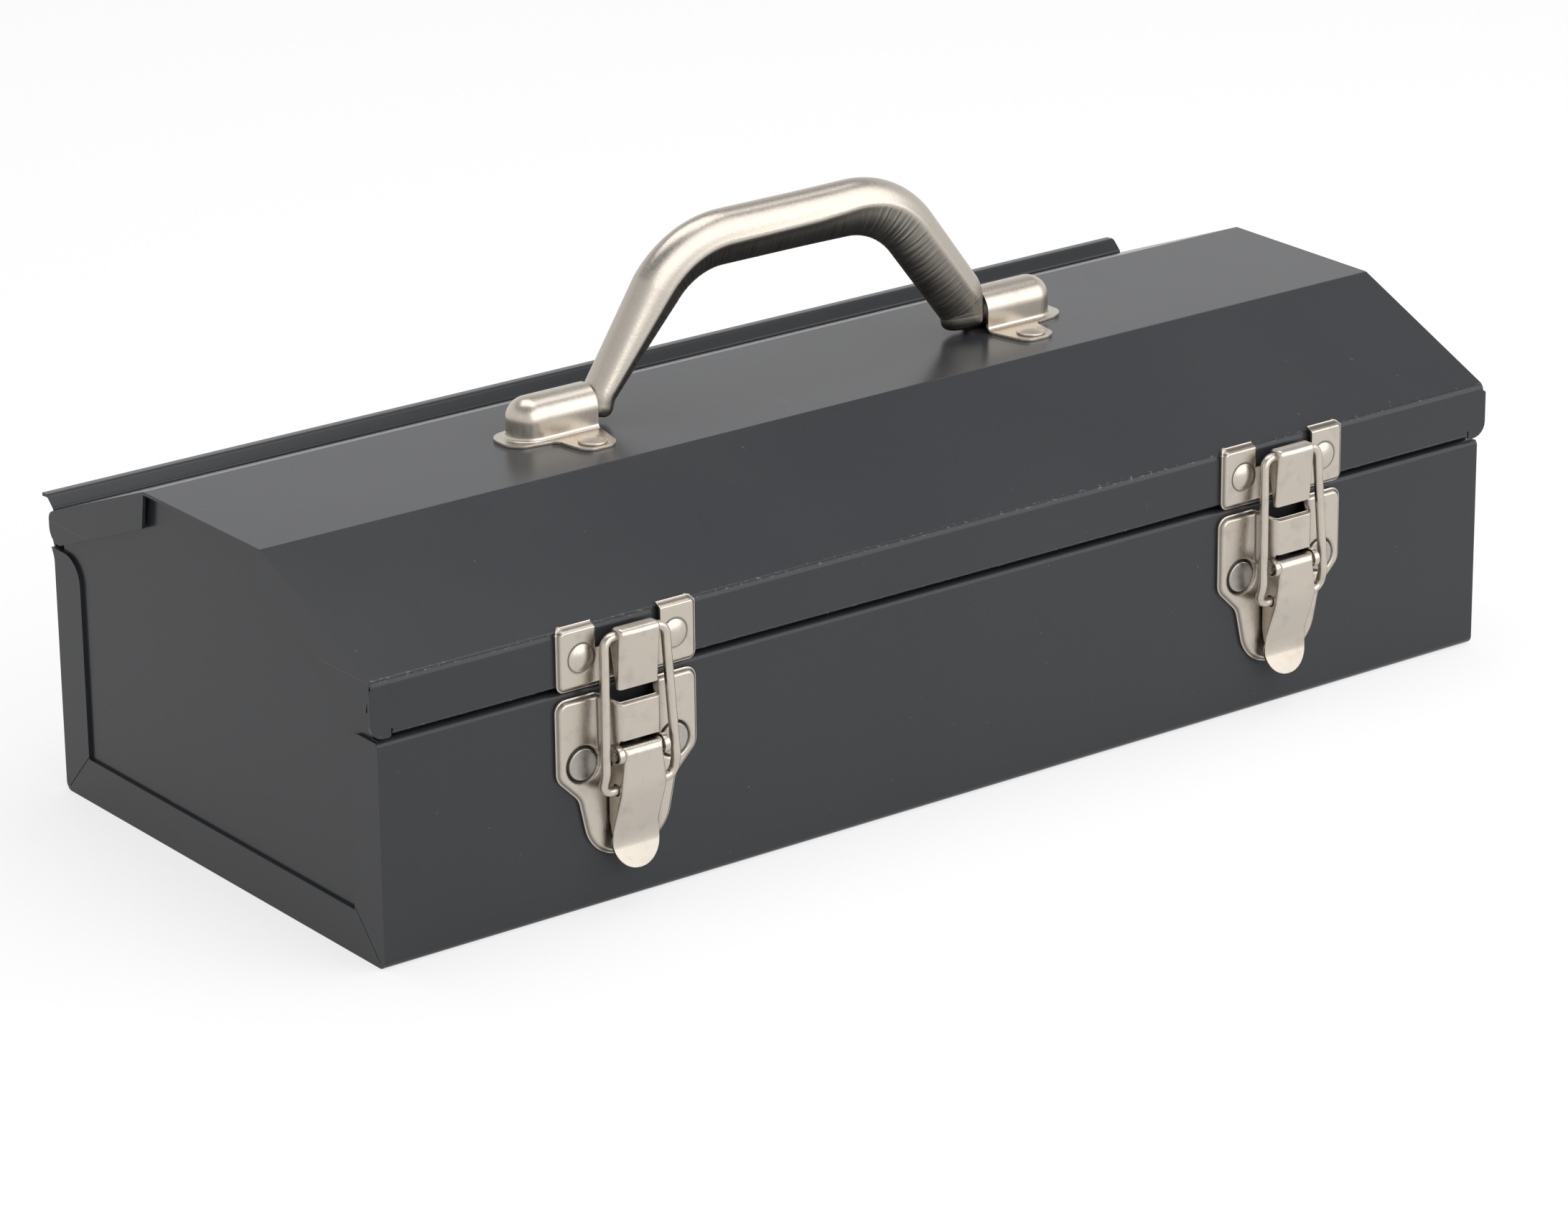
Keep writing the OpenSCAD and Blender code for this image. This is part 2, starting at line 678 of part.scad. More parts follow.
module claw(side) {
  half = claw_w / 2;
  color(nickel) translate([side * latch_x, 0, 0]) difference() {
    union() {
      along_x(-half, half) polygon(strip(claw_path, claw_rr, latch_t));
      for (edge = [-1, 1])
        along_x(edge * (half - latch_t / 2) - latch_t / 2, edge * (half - latch_t / 2) + latch_t / 2)
          polygon(concat(line_at(claw_path, claw_rr, 0), [[bar_y + claw_r, claw_low]]));
      x_pin(bar_y, bar_z, claw_r, -half, half);
    }
    x_pin(bar_y, bar_z, wire_r + fit, -half - 1, half + 1);
  }
}

// Handle brackets: a hood over the handle's end, on a flange riveted to the lid
function bracket_outline() = closed([
  [hood_in, -hood_r - 1.6], [rivet_x - 5.6, -ear_y - 5.4], [rivet_x + 5.6, -ear_y - 5.4],
  [rivet_x + 7.6, -hood_r - 2.2], [hood_out + 3.4, -hood_r], [hood_out + 3.4, hood_r],
  [rivet_x + 7.6, hood_r + 2.2], [rivet_x + 5.6, ear_y + 5.4], [rivet_x - 5.6, ear_y + 5.4],
  [hood_in, hood_r + 1.6]
], [1, 4.6, 4.6, 3, 6, 6, 3, 4.6, 4.6, 1]);

module hood_form(r, base) {
  x0 = hood_in;
  x1 = hood_out - hood_r;
  x_pin(0, handle_z, r, x0, x1);
  translate([x1, 0, handle_z]) sphere(r = r);
  translate([x1, 0, base]) cylinder(h = handle_z - base, r = r);
  translate([x0, -r, base]) cube([x1 - x0, 2 * r, handle_z - base]);
}

module handle_bracket(side) {
  inner = hood_r - hood_t;
  color(nickel) mirror([side < 0 ? 1 : 0, 0, 0]) difference() {
    union() {
      translate([0, 0, roof_h]) linear_extrude(hood_t) polygon(bracket_outline());
      hood_form(hood_r, roof_h);
    }
    hood_form(inner, roof_h - 1);
    x_pin(0, handle_z, inner, hood_in - 1, hood_in + 1);
    translate([hood_in - 1, -inner, roof_h - 1]) cube([2, 2 * inner, handle_z - roof_h + 1]);
    for (row = [-1, 1])
      translate([rivet_x, row * ear_y, roof_h - 1]) cylinder(h = hood_t + 2, d = shank_d + 2 * shank_fit);
  }
}

module handle_rivets(side) {
  color(nickel) for (row = [-1, 1])
    translate([side * rivet_x, row * ear_y, roof_h - sheet]) rivet(head_d + 0.6, sheet + hood_t, 0.2, 1.1);
}

// Handle: one formed piece, an oval section along two legs and a grip, with round ends
handle_path = [
  [-leg_x - 0.6, -3.5], [-leg_x + 1, 2], [-grip_x, grip_rise], [grip_x, grip_rise], [leg_x - 1, 2],
  [leg_x + 0.6, -3.5]
];
handle_bend = [0, 6, 30, 30, 6, 0];
oval_points = 20;

// An oval ring: its thickness and its width grow from the foot to the grip
function oval(i, p, d, grow) =
  let(a = 360 * i / oval_points, up = left(d) * sin(a) * (0.5 + 0.5 * grow) * (grip_t / 2))
  [p.x + up.x, cos(a) * (0.74 + 0.26 * grow) * (grip_w / 2) * (1 + 0.08 * sin(a)), handle_z + p.y + up.y];

module handle() {
  line = line_at(handle_path, handle_bend, 0);
  n = len(line) - 1;
  function heading(i) = unit(line[min(i + 1, n)] - line[max(i - 1, 0)]);
  function grow(i) = (i == 0 || i == n) ? -0.1 : min(1, max(0, line[i].y) / (grip_rise * 0.72));
  color(nickel) {
    skin([for (i = [0:n]) [for (k = [0:oval_points - 1]) oval(k, line[i], heading(i), grow(i))]]);
    for (side = [-1, 1])
      x_pin(0, handle_z, trunnion_r, min(side * (leg_x - 2), side * (hood_out - hood_r)),
        max(side * (leg_x - 2), side * (hood_out - hood_r)));
  }
}

body_shell();
end_panel(-1);  // end_panel_left
end_panel(1);  // end_panel_right
hinge_rod();
latch_base(-1);  // latch_base_left
latch_base(1);  // latch_base_right
latch_base_rivets(-1);  // latch_base_rivets_left
latch_base_rivets(1);  // latch_base_rivets_right
lever_pin(-1);  // lever_pin_left
lever_pin(1);  // lever_pin_right
lever(-1);  // lever_left
lever(1);  // lever_right
bail(-1);  // bail_left
bail(1);  // bail_right
claw(-1);  // claw_left
claw(1);  // claw_right
lid_shell();
strike(-1);  // strike_left
strike(1);  // strike_right
strike_rivets(-1);  // strike_rivets_left
strike_rivets(1);  // strike_rivets_right
handle_bracket(-1);  // handle_bracket_left
handle_bracket(1);  // handle_bracket_right
handle_rivets(-1);  // handle_rivets_left
handle_rivets(1);  // handle_rivets_right
handle();
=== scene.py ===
import math

import bmesh
import bpy
import numpy as np
from mathutils import Matrix, Vector


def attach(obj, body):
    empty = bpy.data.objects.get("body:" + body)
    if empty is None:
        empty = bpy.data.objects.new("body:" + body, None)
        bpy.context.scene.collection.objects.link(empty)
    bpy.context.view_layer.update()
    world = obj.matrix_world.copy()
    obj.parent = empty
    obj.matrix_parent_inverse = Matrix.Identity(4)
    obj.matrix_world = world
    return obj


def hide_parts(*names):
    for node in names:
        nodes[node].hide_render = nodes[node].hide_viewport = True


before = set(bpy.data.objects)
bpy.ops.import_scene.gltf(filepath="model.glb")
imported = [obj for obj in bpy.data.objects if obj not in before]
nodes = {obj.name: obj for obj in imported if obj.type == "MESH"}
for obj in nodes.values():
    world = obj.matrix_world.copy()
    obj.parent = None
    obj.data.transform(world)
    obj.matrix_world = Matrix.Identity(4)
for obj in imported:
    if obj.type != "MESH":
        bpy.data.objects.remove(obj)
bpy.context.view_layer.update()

# Camera
# It stands where the photograph was taken from: in front of the box's left end and above it,
# a long way off, so that the edges stay nearly parallel.
EYE = Vector((-1.01223, -1.34974, 0.66465))
LOOK = Vector((0.561754, 0.749894, -0.349415))
RIGHT = Vector((0.798026, -0.602538, -0.010147))
UP = RIGHT.cross(LOOK)
SENSOR_WIDTH, FOCAL_LENGTH = 36.0, 138.99
CLIP_NEAR, CLIP_FAR = 0.05, 20.0

camera_data = bpy.data.cameras.new("camera")
camera_data.sensor_width = SENSOR_WIDTH
camera_data.lens = FOCAL_LENGTH
camera_data.clip_start = CLIP_NEAR
camera_data.clip_end = CLIP_FAR
camera = bpy.data.objects.new("camera", camera_data)
camera.matrix_world = Matrix((
    (RIGHT.x, UP.x, -LOOK.x, EYE.x),
    (RIGHT.y, UP.y, -LOOK.y, EYE.y),
    (RIGHT.z, UP.z, -LOOK.z, EYE.z),
    (0.0, 0.0, 0.0, 1.0),
))
bpy.context.scene.collection.objects.link(camera)
bpy.context.scene.camera = camera
bpy.context.scene.view_settings.view_transform = "Standard"

# Room
# A white sweep that dims towards the ceiling, as the camera, metal and gloss see it. The light
# itself comes from a grey sky, dark on the left. Each pair is where a change starts and ends.
SKY_LOW = (0.42, 0.42, 0.43, 1.0)
SKY_HIGH = (0.72, 0.72, 0.72, 1.0)
SKY_RISE = (-0.1, 0.9)
SKY_LEFT = (0.04, 0.04, 0.042, 1.0)
LEFTWARD = (-0.2, -0.9)
WALL_WHITE = (1.0, 1.0, 1.0, 1.0)
CEILING_GREY = (0.30, 0.30, 0.31, 1.0)
CEILING_RISE = (0.44, 0.82)


def link(tree, out, into):
    """Joins one node's output to another node's input."""
    tree.links.new(out, into)


def blend_colour(tree, factor, first, second):
    """A plus (B - A) times the factor, where A and B are colours or other nodes' outputs."""
    mix = tree.nodes.new("ShaderNodeMix")
    mix.data_type = "RGBA"
    for name, colour in (("A", first), ("B", second)):
        if isinstance(colour, tuple):
            mix.inputs[name].default_value = colour
        else:
            link(tree, colour, mix.inputs[name])
    link(tree, factor, mix.inputs["Factor"])
    return mix.outputs["Result"]


def band(tree, value, span, result=(0.0, 1.0)):
    """The value's share of the way along the span, carried over to the two results."""
    spread = tree.nodes.new("ShaderNodeMapRange")
    for name, number in zip(("From Min", "From Max", "To Min", "To Max"), span + result):
        spread.inputs[name].default_value = number
    link(tree, value, spread.inputs["Value"])
    return spread.outputs["Result"]


def arithmetic(tree, operation, first, second=0.0):
    """One sum on two values, each a number or another node's output."""
    node = tree.nodes.new("ShaderNodeMath")
    node.operation = operation
    for socket, value in zip(node.inputs, (first, second)):
        if isinstance(value, float):
            socket.default_value = value
        else:
            link(tree, value, socket)
    return node.outputs["Value"]


def show_directly(tree, output, share, lighting, seen):
    """Rays from the camera, from gloss and through glass meet that share of the seen shader. All
    others meet the lighting one."""
    path = tree.nodes.new("ShaderNodeLightPath")
    direct = path.outputs["Is Camera Ray"]
    for kind in ("Is Glossy Ray", "Is Transmission Ray"):
        direct = arithmetic(tree, "MAXIMUM", direct, path.outputs[kind])
    choice = tree.nodes.new("ShaderNodeMixShader")
    link(tree, band(tree, direct, (0.0, 1.0), (0.0, share)), choice.inputs["Fac"])
    link(tree, lighting, choice.inputs[1])
    link(tree, seen, choice.inputs[2])
    link(tree, choice.outputs["Shader"], output.inputs["Surface"])


def new_world():
    """The sky goes from low to high with Z and then to dark with X. The sweep dims with Z."""
    world = bpy.data.worlds.new("room")
    world.use_nodes = True
    tree = world.node_tree
    tree.nodes.clear()
    output = tree.nodes.new("ShaderNodeOutputWorld")
    light = tree.nodes.new("ShaderNodeBackground")
    seen = tree.nodes.new("ShaderNodeBackground")
    axes = tree.nodes.new("ShaderNodeSeparateXYZ")
    link(tree, tree.nodes.new("ShaderNodeTexCoord").outputs["Generated"], axes.inputs[0])
    leftward = band(tree, axes.outputs["X"], LEFTWARD)
    sky = blend_colour(tree, band(tree, axes.outputs["Z"], SKY_RISE), SKY_LOW, SKY_HIGH)
    link(tree, blend_colour(tree, leftward, sky, SKY_LEFT), light.inputs["Color"])
    rise = band(tree, axes.outputs["Z"], CEILING_RISE)
    link(tree, blend_colour(tree, rise, WALL_WHITE, CEILING_GREY), seen.inputs["Color"])
    show_directly(tree, output, 1.0, light.outputs["Background"], seen.outputs["Background"])
    return world


bpy.context.scene.world = new_world()

# Floor
# A plain white studio floor that glows a little where it is seen, and keeps the soft shadow of
# the box.
FLOOR_COLOUR = (0.93, 0.93, 0.93, 1.0)
FLOOR_HALF = 3.0
FLOOR_GLOW = 0.72


def floor_material():
    """Matt white for all light, and mostly a plain white glow where it is seen."""
    material = bpy.data.materials.new("pale_floor")
    material.use_nodes = True
    tree = material.node_tree
    tree.nodes.clear()
    output = tree.nodes.new("ShaderNodeOutputMaterial")
    matt = tree.nodes.new("ShaderNodeBsdfDiffuse")
    matt.inputs["Color"].default_value = FLOOR_COLOUR
    glow = tree.nodes.new("ShaderNodeEmission")
    show_directly(tree, output, FLOOR_GLOW, matt.outputs["BSDF"], glow.outputs["Emission"])
    return material


floor_mesh = bpy.data.meshes.new("floor")
floor_mesh.from_pydata([(x * FLOOR_HALF, y * FLOOR_HALF, 0.0)
                        for x, y in ((-1, -1), (1, -1), (1, 1), (-1, 1))], [], [(0, 1, 2, 3)])
floor = bpy.data.objects.new("floor", floor_mesh)
floor.data.materials.append(floor_material())
bpy.context.scene.collection.objects.link(floor)


# Lamps
# Three large soft boxes: one above, one in front to the right, and a weak one on the left.
def lamp(name, place, aim, size, power):
    """A soft box that faces its aim. Places and sizes are in metres, the power is in watts."""
    data = bpy.data.lights.new(name, "AREA")
    data.shape = "RECTANGLE"
    data.size, data.size_y = size
    data.energy = power
    soft_box = bpy.data.objects.new(name, data)
    soft_box.location = place
    soft_box.rotation_euler = (Vector(aim) - Vector(place)).to_track_quat("-Z", "Y").to_euler()
    bpy.context.scene.collection.objects.link(soft_box)


lamp("lamp_top", (0.1, 0.1, 1.5), (0.0, 0.0, 0.0), size=(1.6, 1.0), power=12.0)
lamp("lamp_front", (0.7, -1.6, 0.9), (0.0, 0.0, 0.05), size=(3.0, 1.7), power=27.0)
lamp("lamp_left", (-1.6, -0.3, 0.9), (0.0, 0.0, 0.05), size=(0.8, 0.6), power=0.15)

# Case and end panels
# Folded steel sheet, 1 mm thick, with its tabs turned round the flat end plates. Dark grey baked
# enamel: a soft gloss with a faint orange peel, a few light specks and hair-fine scratches.
PAINT_DARK = (0.030, 0.0315, 0.035, 1.0)
PAINT_LIGHT = (0.0355, 0.037, 0.0405, 1.0)
CLOUD_SCALE = 14.0
SPECK = (0.42, 0.42, 0.42, 1.0)
SPECK_SCALE, SPECK_CUT, SPECK_SHARE = 300.0, (0.845, 0.87), 0.45
SCRATCH = (0.11, 0.11, 0.115, 1.0)
SCRATCH_LINES, SCRATCH_TURN = (900.0, 60.0, 900.0), (0.5, 0.7, 0.9)
SCRATCH_CUT, SCRATCH_SHARE = (0.885, 0.91), 0.6
PEEL_SCALE, PEEL_DEPTH, PEEL_STRENGTH = 700.0, 0.0001, 0.08
PAINT_ROUGHNESS = (0.22, 0.27)
PAINT_IOR = 1.34
PAINT_EDGE = 0.00025
MOST_NOISE = (0.3, 0.7)
WELD_GAP = 0.000002
NODE_CORNER = math.radians(32)
FLAT_WEIGHT = 80


def noise(tree, coordinates, scale, detail=2.0, roughness=0.5):
    """A cloudy pattern between 0 and 1, with about as many clouds to the metre as the scale."""
    pattern = tree.nodes.new("ShaderNodeTexNoise")
    pattern.inputs["Scale"].default_value = scale
    pattern.inputs["Detail"].default_value = detail
    pattern.inputs["Roughness"].default_value = roughness
    link(tree, coordinates, pattern.inputs["Vector"])
    return pattern.outputs["Fac"]


def stretch(tree, coordinates, scale, turn=(0.0, 0.0, 0.0)):
    """The coordinates turned and scaled along each axis, which draws a pattern out in lines."""
    mapping = tree.nodes.new("ShaderNodeMapping")
    mapping.inputs["Scale"].default_value = scale
    mapping.inputs["Rotation"].default_value = turn
    link(tree, coordinates, mapping.inputs["Vector"])
    return mapping.outputs["Vector"]


def spotted(tree, colour, pattern, cut, share, spot):
    """The colour, with up to the share of the spot's colour where the pattern passes the cut."""
    return blend_colour(tree, band(tree, pattern, cut, (0.0, share)), colour, spot)


def relief(tree, height, depth, strength):
    """The surface's direction, tilted by the slope of a pattern that is so many metres deep."""
    bump = tree.nodes.new("ShaderNodeBump")
    bump.inputs["Distance"].default_value = depth
    bump.inputs["Strength"].default_value = strength
    link(tree, height, bump.inputs["Height"])
    return bump.outputs["Normal"]


def new_material(name):
    """A material, its tree, its shader and the place of a point, in Object coordinates."""
    material = bpy.data.materials.new(name)
    material.use_nodes = True
    tree = material.node_tree
    place = tree.nodes.new("ShaderNodeTexCoord").outputs["Object"]
    return material, tree, tree.nodes["Principled BSDF"], place


def dress(tree, shader, colour, roughness, normal, metallic=0.0):
    """Joins colour, roughness and relief to the shader, and sets how metallic it is."""
    for name, out in (("Base Color", colour), ("Roughness", roughness), ("Normal", normal)):
        link(tree, out, shader.inputs[name])
    shader.inputs["Metallic"].default_value = metallic


def enamel():
    """Faint clouds, with specks and scratches where finer noises come near their highest."""
    material, tree, shader, place = new_material("dark_grey_enamel")
    clouds = noise(tree, place, CLOUD_SCALE, 3.0)
    colour = blend_colour(tree, clouds, PAINT_DARK, PAINT_LIGHT)
    specks = noise(tree, place, SPECK_SCALE, 1.0)
    colour = spotted(tree, colour, specks, SPECK_CUT, SPECK_SHARE, SPECK)
    scratches = noise(tree, stretch(tree, place, SCRATCH_LINES, SCRATCH_TURN), 1.0, 0.0)
    colour = spotted(tree, colour, scratches, SCRATCH_CUT, SCRATCH_SHARE, SCRATCH)
    peel = relief(tree, noise(tree, place, PEEL_SCALE), PEEL_DEPTH, PEEL_STRENGTH)
    dress(tree, shader, colour, band(tree, clouds, MOST_NOISE, PAINT_ROUGHNESS), peel)
    shader.inputs["IOR"].default_value = PAINT_IOR
    return material


ENAMEL = enamel()


def finish_node(node, material, edge):
    """Gives a CAD node its material, and rounds its sharp edges by modifiers alone."""
    part = nodes[node]
    part.data.materials.clear()
    part.data.materials.append(material)
    part.data.polygons.foreach_set("use_smooth", np.ones(len(part.data.polygons), bool))
    weld = part.modifiers.new("weld", "WELD")
    weld.merge_threshold = WELD_GAP
    bevel = part.modifiers.new("edge", "BEVEL")
    bevel.width = edge
    bevel.segments = 2
    bevel.limit_method = "ANGLE"
    bevel.angle_limit = NODE_CORNER
    normals = part.modifiers.new("shade", "WEIGHTED_NORMAL")
    normals.keep_sharp = False
    normals.weight = FLAT_WEIGHT


for name in ("body_shell", "end_panel_left", "end_panel_right"):
    finish_node(name, ENAMEL, PAINT_EDGE)

# Hinge rod and lever pins
# Drawn steel wire with a plain bright surface: the rod in the lid's rolled rear edge, its ends
# in the end panels, and the two headless pins in the eyes of the latch plates.
WIRE_BRIGHT = (0.50, 0.48, 0.45, 1.0)
WIRE_DULL = (0.38, 0.36, 0.34, 1.0)
WIRE_LINES = (120.0, 2600.0, 2600.0)
WIRE_ROUGHNESS = (0.24, 0.36)
WIRE_DEPTH, WIRE_STRENGTH = 0.00004, 0.3
WIRE_EDGE = 0.0003


def drawn_wire():
    """Two greys in streaks along the wire, which are rough and raised by the same pattern."""
    material, tree, shader, place = new_material("drawn_wire")
    streaks = noise(tree, stretch(tree, place, WIRE_LINES), 1.0)
    dress(tree, shader, blend_colour(tree, streaks, WIRE_BRIGHT, WIRE_DULL),
          band(tree, streaks, MOST_NOISE, WIRE_ROUGHNESS),
          relief(tree, streaks, WIRE_DEPTH, WIRE_STRENGTH), 1.0)
    return material


WIRE = drawn_wire()
for name in ("hinge_rod", "lever_pin_left", "lever_pin_right"):
    finish_node(name, WIRE, WIRE_EDGE)

# Lid
# One hipped sheet with a front flange hemmed inside, ears over the ends and its rear edge rolled
# round the hinge rod. Same enamel, with small light marks along the two folds of the flange:
# painted glints where the folded edges catch the light, and chips in the paint.
FOLD_LEVELS = (0.0683, 0.0838)
FOLD_BAND = 0.0007
# Painted glints and chips: the light colour of the marks along the folds.
GLINT_CHIP = (0.19, 0.19, 0.20, 1.0)
GLINT_CHIP_STRETCH, GLINT_CHIP_ROUGH = (520.0, 0.0, 2100.0), 0.6
GLINT_CHIP_CUT, GLINT_CHIP_SHARE = (0.58, 0.68), 0.75


def glint_and_chip_enamel():
    """The case's enamel with small light marks, painted glints and chips, where fine noise is high,
    near the levels of the folds.
    """
    material = ENAMEL.copy()
    material.name = "dark_grey_enamel_lid"
    tree = material.node_tree
    shader = tree.nodes["Principled BSDF"]
    place = tree.nodes.new("ShaderNodeTexCoord").outputs["Object"]
    axes = tree.nodes.new("ShaderNodeSeparateXYZ")
    link(tree, place, axes.inputs[0])
    spots = noise(tree, stretch(tree, place, GLINT_CHIP_STRETCH), 1.0, 2.0, GLINT_CHIP_ROUGH)
    glints_and_chips = band(tree, spots, GLINT_CHIP_CUT, (0.0, GLINT_CHIP_SHARE))
    colour = shader.inputs["Base Color"].links[0].from_socket
    for level in FOLD_LEVELS:
        away = arithmetic(tree, "ABSOLUTE", arithmetic(tree, "SUBTRACT", axes.outputs["Z"], level))
        near = band(tree, away, (0.0, FOLD_BAND), (1.0, 0.0))
        colour = blend_colour(tree, arithmetic(tree, "MULTIPLY", near, glints_and_chips), colour, GLINT_CHIP)
    link(tree, colour, shader.inputs["Base Color"])
    return material


finish_node("lid_shell", glint_and_chip_enamel(), PAINT_EDGE)

# Strike plates
# Shallow nickel-plated pressings riveted to the lid's flange: a sloping rim all round, a shallow
# dish round each rivet, and a notch sheared out of the middle, which leaves two wings.
MM = 0.001
SIDES = (("left", -1.0), ("right", 1.0))
LATCH_X = 119.2
LATCH_SHEET = 0.9
SHEARED_EDGE = 0.13
LID_Y = -84.3
STRIKE_HALF, STRIKE_LOW, STRIKE_TOP = 23.4, 66.8, 85.56
STRIKE_FOOT, STRIKE_OUT = 1.0, 2.0
STRIKE_CORNER = 2.4
TOP_SINK, TOP_FROM, TOP_RUN = 1.1, 1.8, 1.6
WING_IN, NOTCH_Z = 11.05, 78.0
STRIKE_RIVET_X, STRIKE_RIVET_Z = 15.7, 76.0
DISH_R, DISH_SLOPE, DISH_DEEP = 4.1, 0.5, 0.14
RIM_WIDTH = 1.6
RIM_SHADE = (0.75, 0.62, 0.34)
DISH_SHADE = (0.9, 4.25, 0.30)
MOST_SHADE = 0.9
NICKEL_WARM = (0.560, 0.495, 0.420, 1.0)
NICKEL_COOL = (0.500, 0.465, 0.415, 1.0)
PATCH_SCALE = 85.0
NICKEL_SMOKE = (0.33, 0.295, 0.26, 1.0)
SMOKE_SCALE, SMOKE_CUT, SMOKE_SHARE = 210.0, (0.55, 0.80), 0.40
PIT = (0.10, 0.08, 0.06, 1.0)
PIT_SCALE, PIT_CUT, PIT_SHARE = 1100.0, (0.83, 0.86), 0.7
# Painted shade: the colour towards which creases, recesses and the feet of rims are darkened.
NICKEL_PAINTED_SHADE = (0.085, 0.075, 0.066, 1.0)
BRUSH_ROUGH, BRUSH_DEPTH = 0.6, 0.00005
WIDE_NOISE = (0.25, 0.75)
NICKEL_ROUGHNESS = (0.24, 0.38)
DEGENERATE = 0.0000005
PIECE_CORNER = math.radians(50)


def stored_shade_and_streaks(tree):
    """The three values that a piece stores at each point, and the third by itself, which is painted
    shade.
    """
    stored = tree.nodes.new("ShaderNodeAttribute")
    stored.attribute_name = "shade_and_streaks"
    axes = tree.nodes.new("ShaderNodeSeparateXYZ")
    link(tree, stored.outputs["Vector"], axes.inputs[0])
    return stored.outputs["Vector"], axes.outputs["Z"]


def nickel_plate(name, lines, grain):
    """Satin nickel: warm and cool patches, a smoky tint, fine brush lines and a few dark pits. The
    third stored value is painted shade: how far the colour is darkened in creases, in recesses and
    at the feet of rims."""
    material, tree, shader, place = new_material(name)
    colour = blend_colour(tree, noise(tree, place, PATCH_SCALE, 3.0), NICKEL_WARM, NICKEL_COOL)
    smoke = noise(tree, place, SMOKE_SCALE)
    colour = spotted(tree, colour, smoke, SMOKE_CUT, SMOKE_SHARE, NICKEL_SMOKE)
    pits = noise(tree, place, PIT_SCALE, 1.0)
    colour = spotted(tree, colour, pits, PIT_CUT, PIT_SHARE, PIT)
    _, painted_shade = stored_shade_and_streaks(tree)
    colour = blend_colour(tree, painted_shade, colour, NICKEL_PAINTED_SHADE)
    streaks = noise(tree, stretch(tree, place, lines), 1.0, 3.0, BRUSH_ROUGH)
    dress(tree, shader, colour, band(tree, streaks, WIDE_NOISE, NICKEL_ROUGHNESS),
          relief(tree, streaks, BRUSH_DEPTH, grain), 1.0)
    return material


LATCH_NICKEL = nickel_plate("satin_nickel_latch", (2400.0, 2400.0, 500.0), 0.30)


def smooth_step(share):
    """Nothing below 0, one above 1, and three squares less two cubes between."""
    share = np.clip(share, 0.0, 1.0)
    return share * share * (3.0 - 2.0 * share)


def bell(distance, height, middle, width):
    """The height times e to the minus square of the distance from the middle over the width."""
    return height * np.exp(-((distance - middle) / width) ** 2)


def crowded(low, high, count):
    """Values from low to high that crowd towards both ends: half even steps, half cosine steps."""
    share = np.linspace(0.0, 1.0, count)
    return low + (high - low) * (0.5 * share + 0.25 * (1.0 - np.cos(math.pi * share)))


def grid(points, keep=None, wrap=False, ends=False, flip=False, shade_and_streaks=None):
    """Quads between the neighbours of a grid of points, rows x columns x 3. The normal is the step
    along a row times the step along a column. Wrap joins the last column to the first, and ends
    closes the first and last rows. The values to store go with the points: three each, or one for
    the painted shade alone."""
    rows, columns = points.shape[:2]
    index = np.arange(rows * columns).reshape(rows, columns)
    if wrap:
        index = np.concatenate([index, index[:, :1]], axis=1)
    quads = np.stack([index[:-1, :-1], index[:-1, 1:], index[1:, 1:], index[1:, :-1]], axis=-1)
    quads = quads.reshape(-1, 4) if keep is None else quads[keep]
    lids = [index[0, :columns][::-1], index[-1, :columns]] if ends else []
    if flip:
        quads, lids = quads[:, ::-1], [rim[::-1] for rim in lids]
    stored = np.zeros(points.shape)
    if shade_and_streaks is not None:
        first = 2 if shade_and_streaks.ndim == 2 else 0
        stored[..., first:] = shade_and_streaks.reshape(rows, columns, -1)
    return points.reshape(-1, 3), quads, lids, stored.reshape(-1, 3)


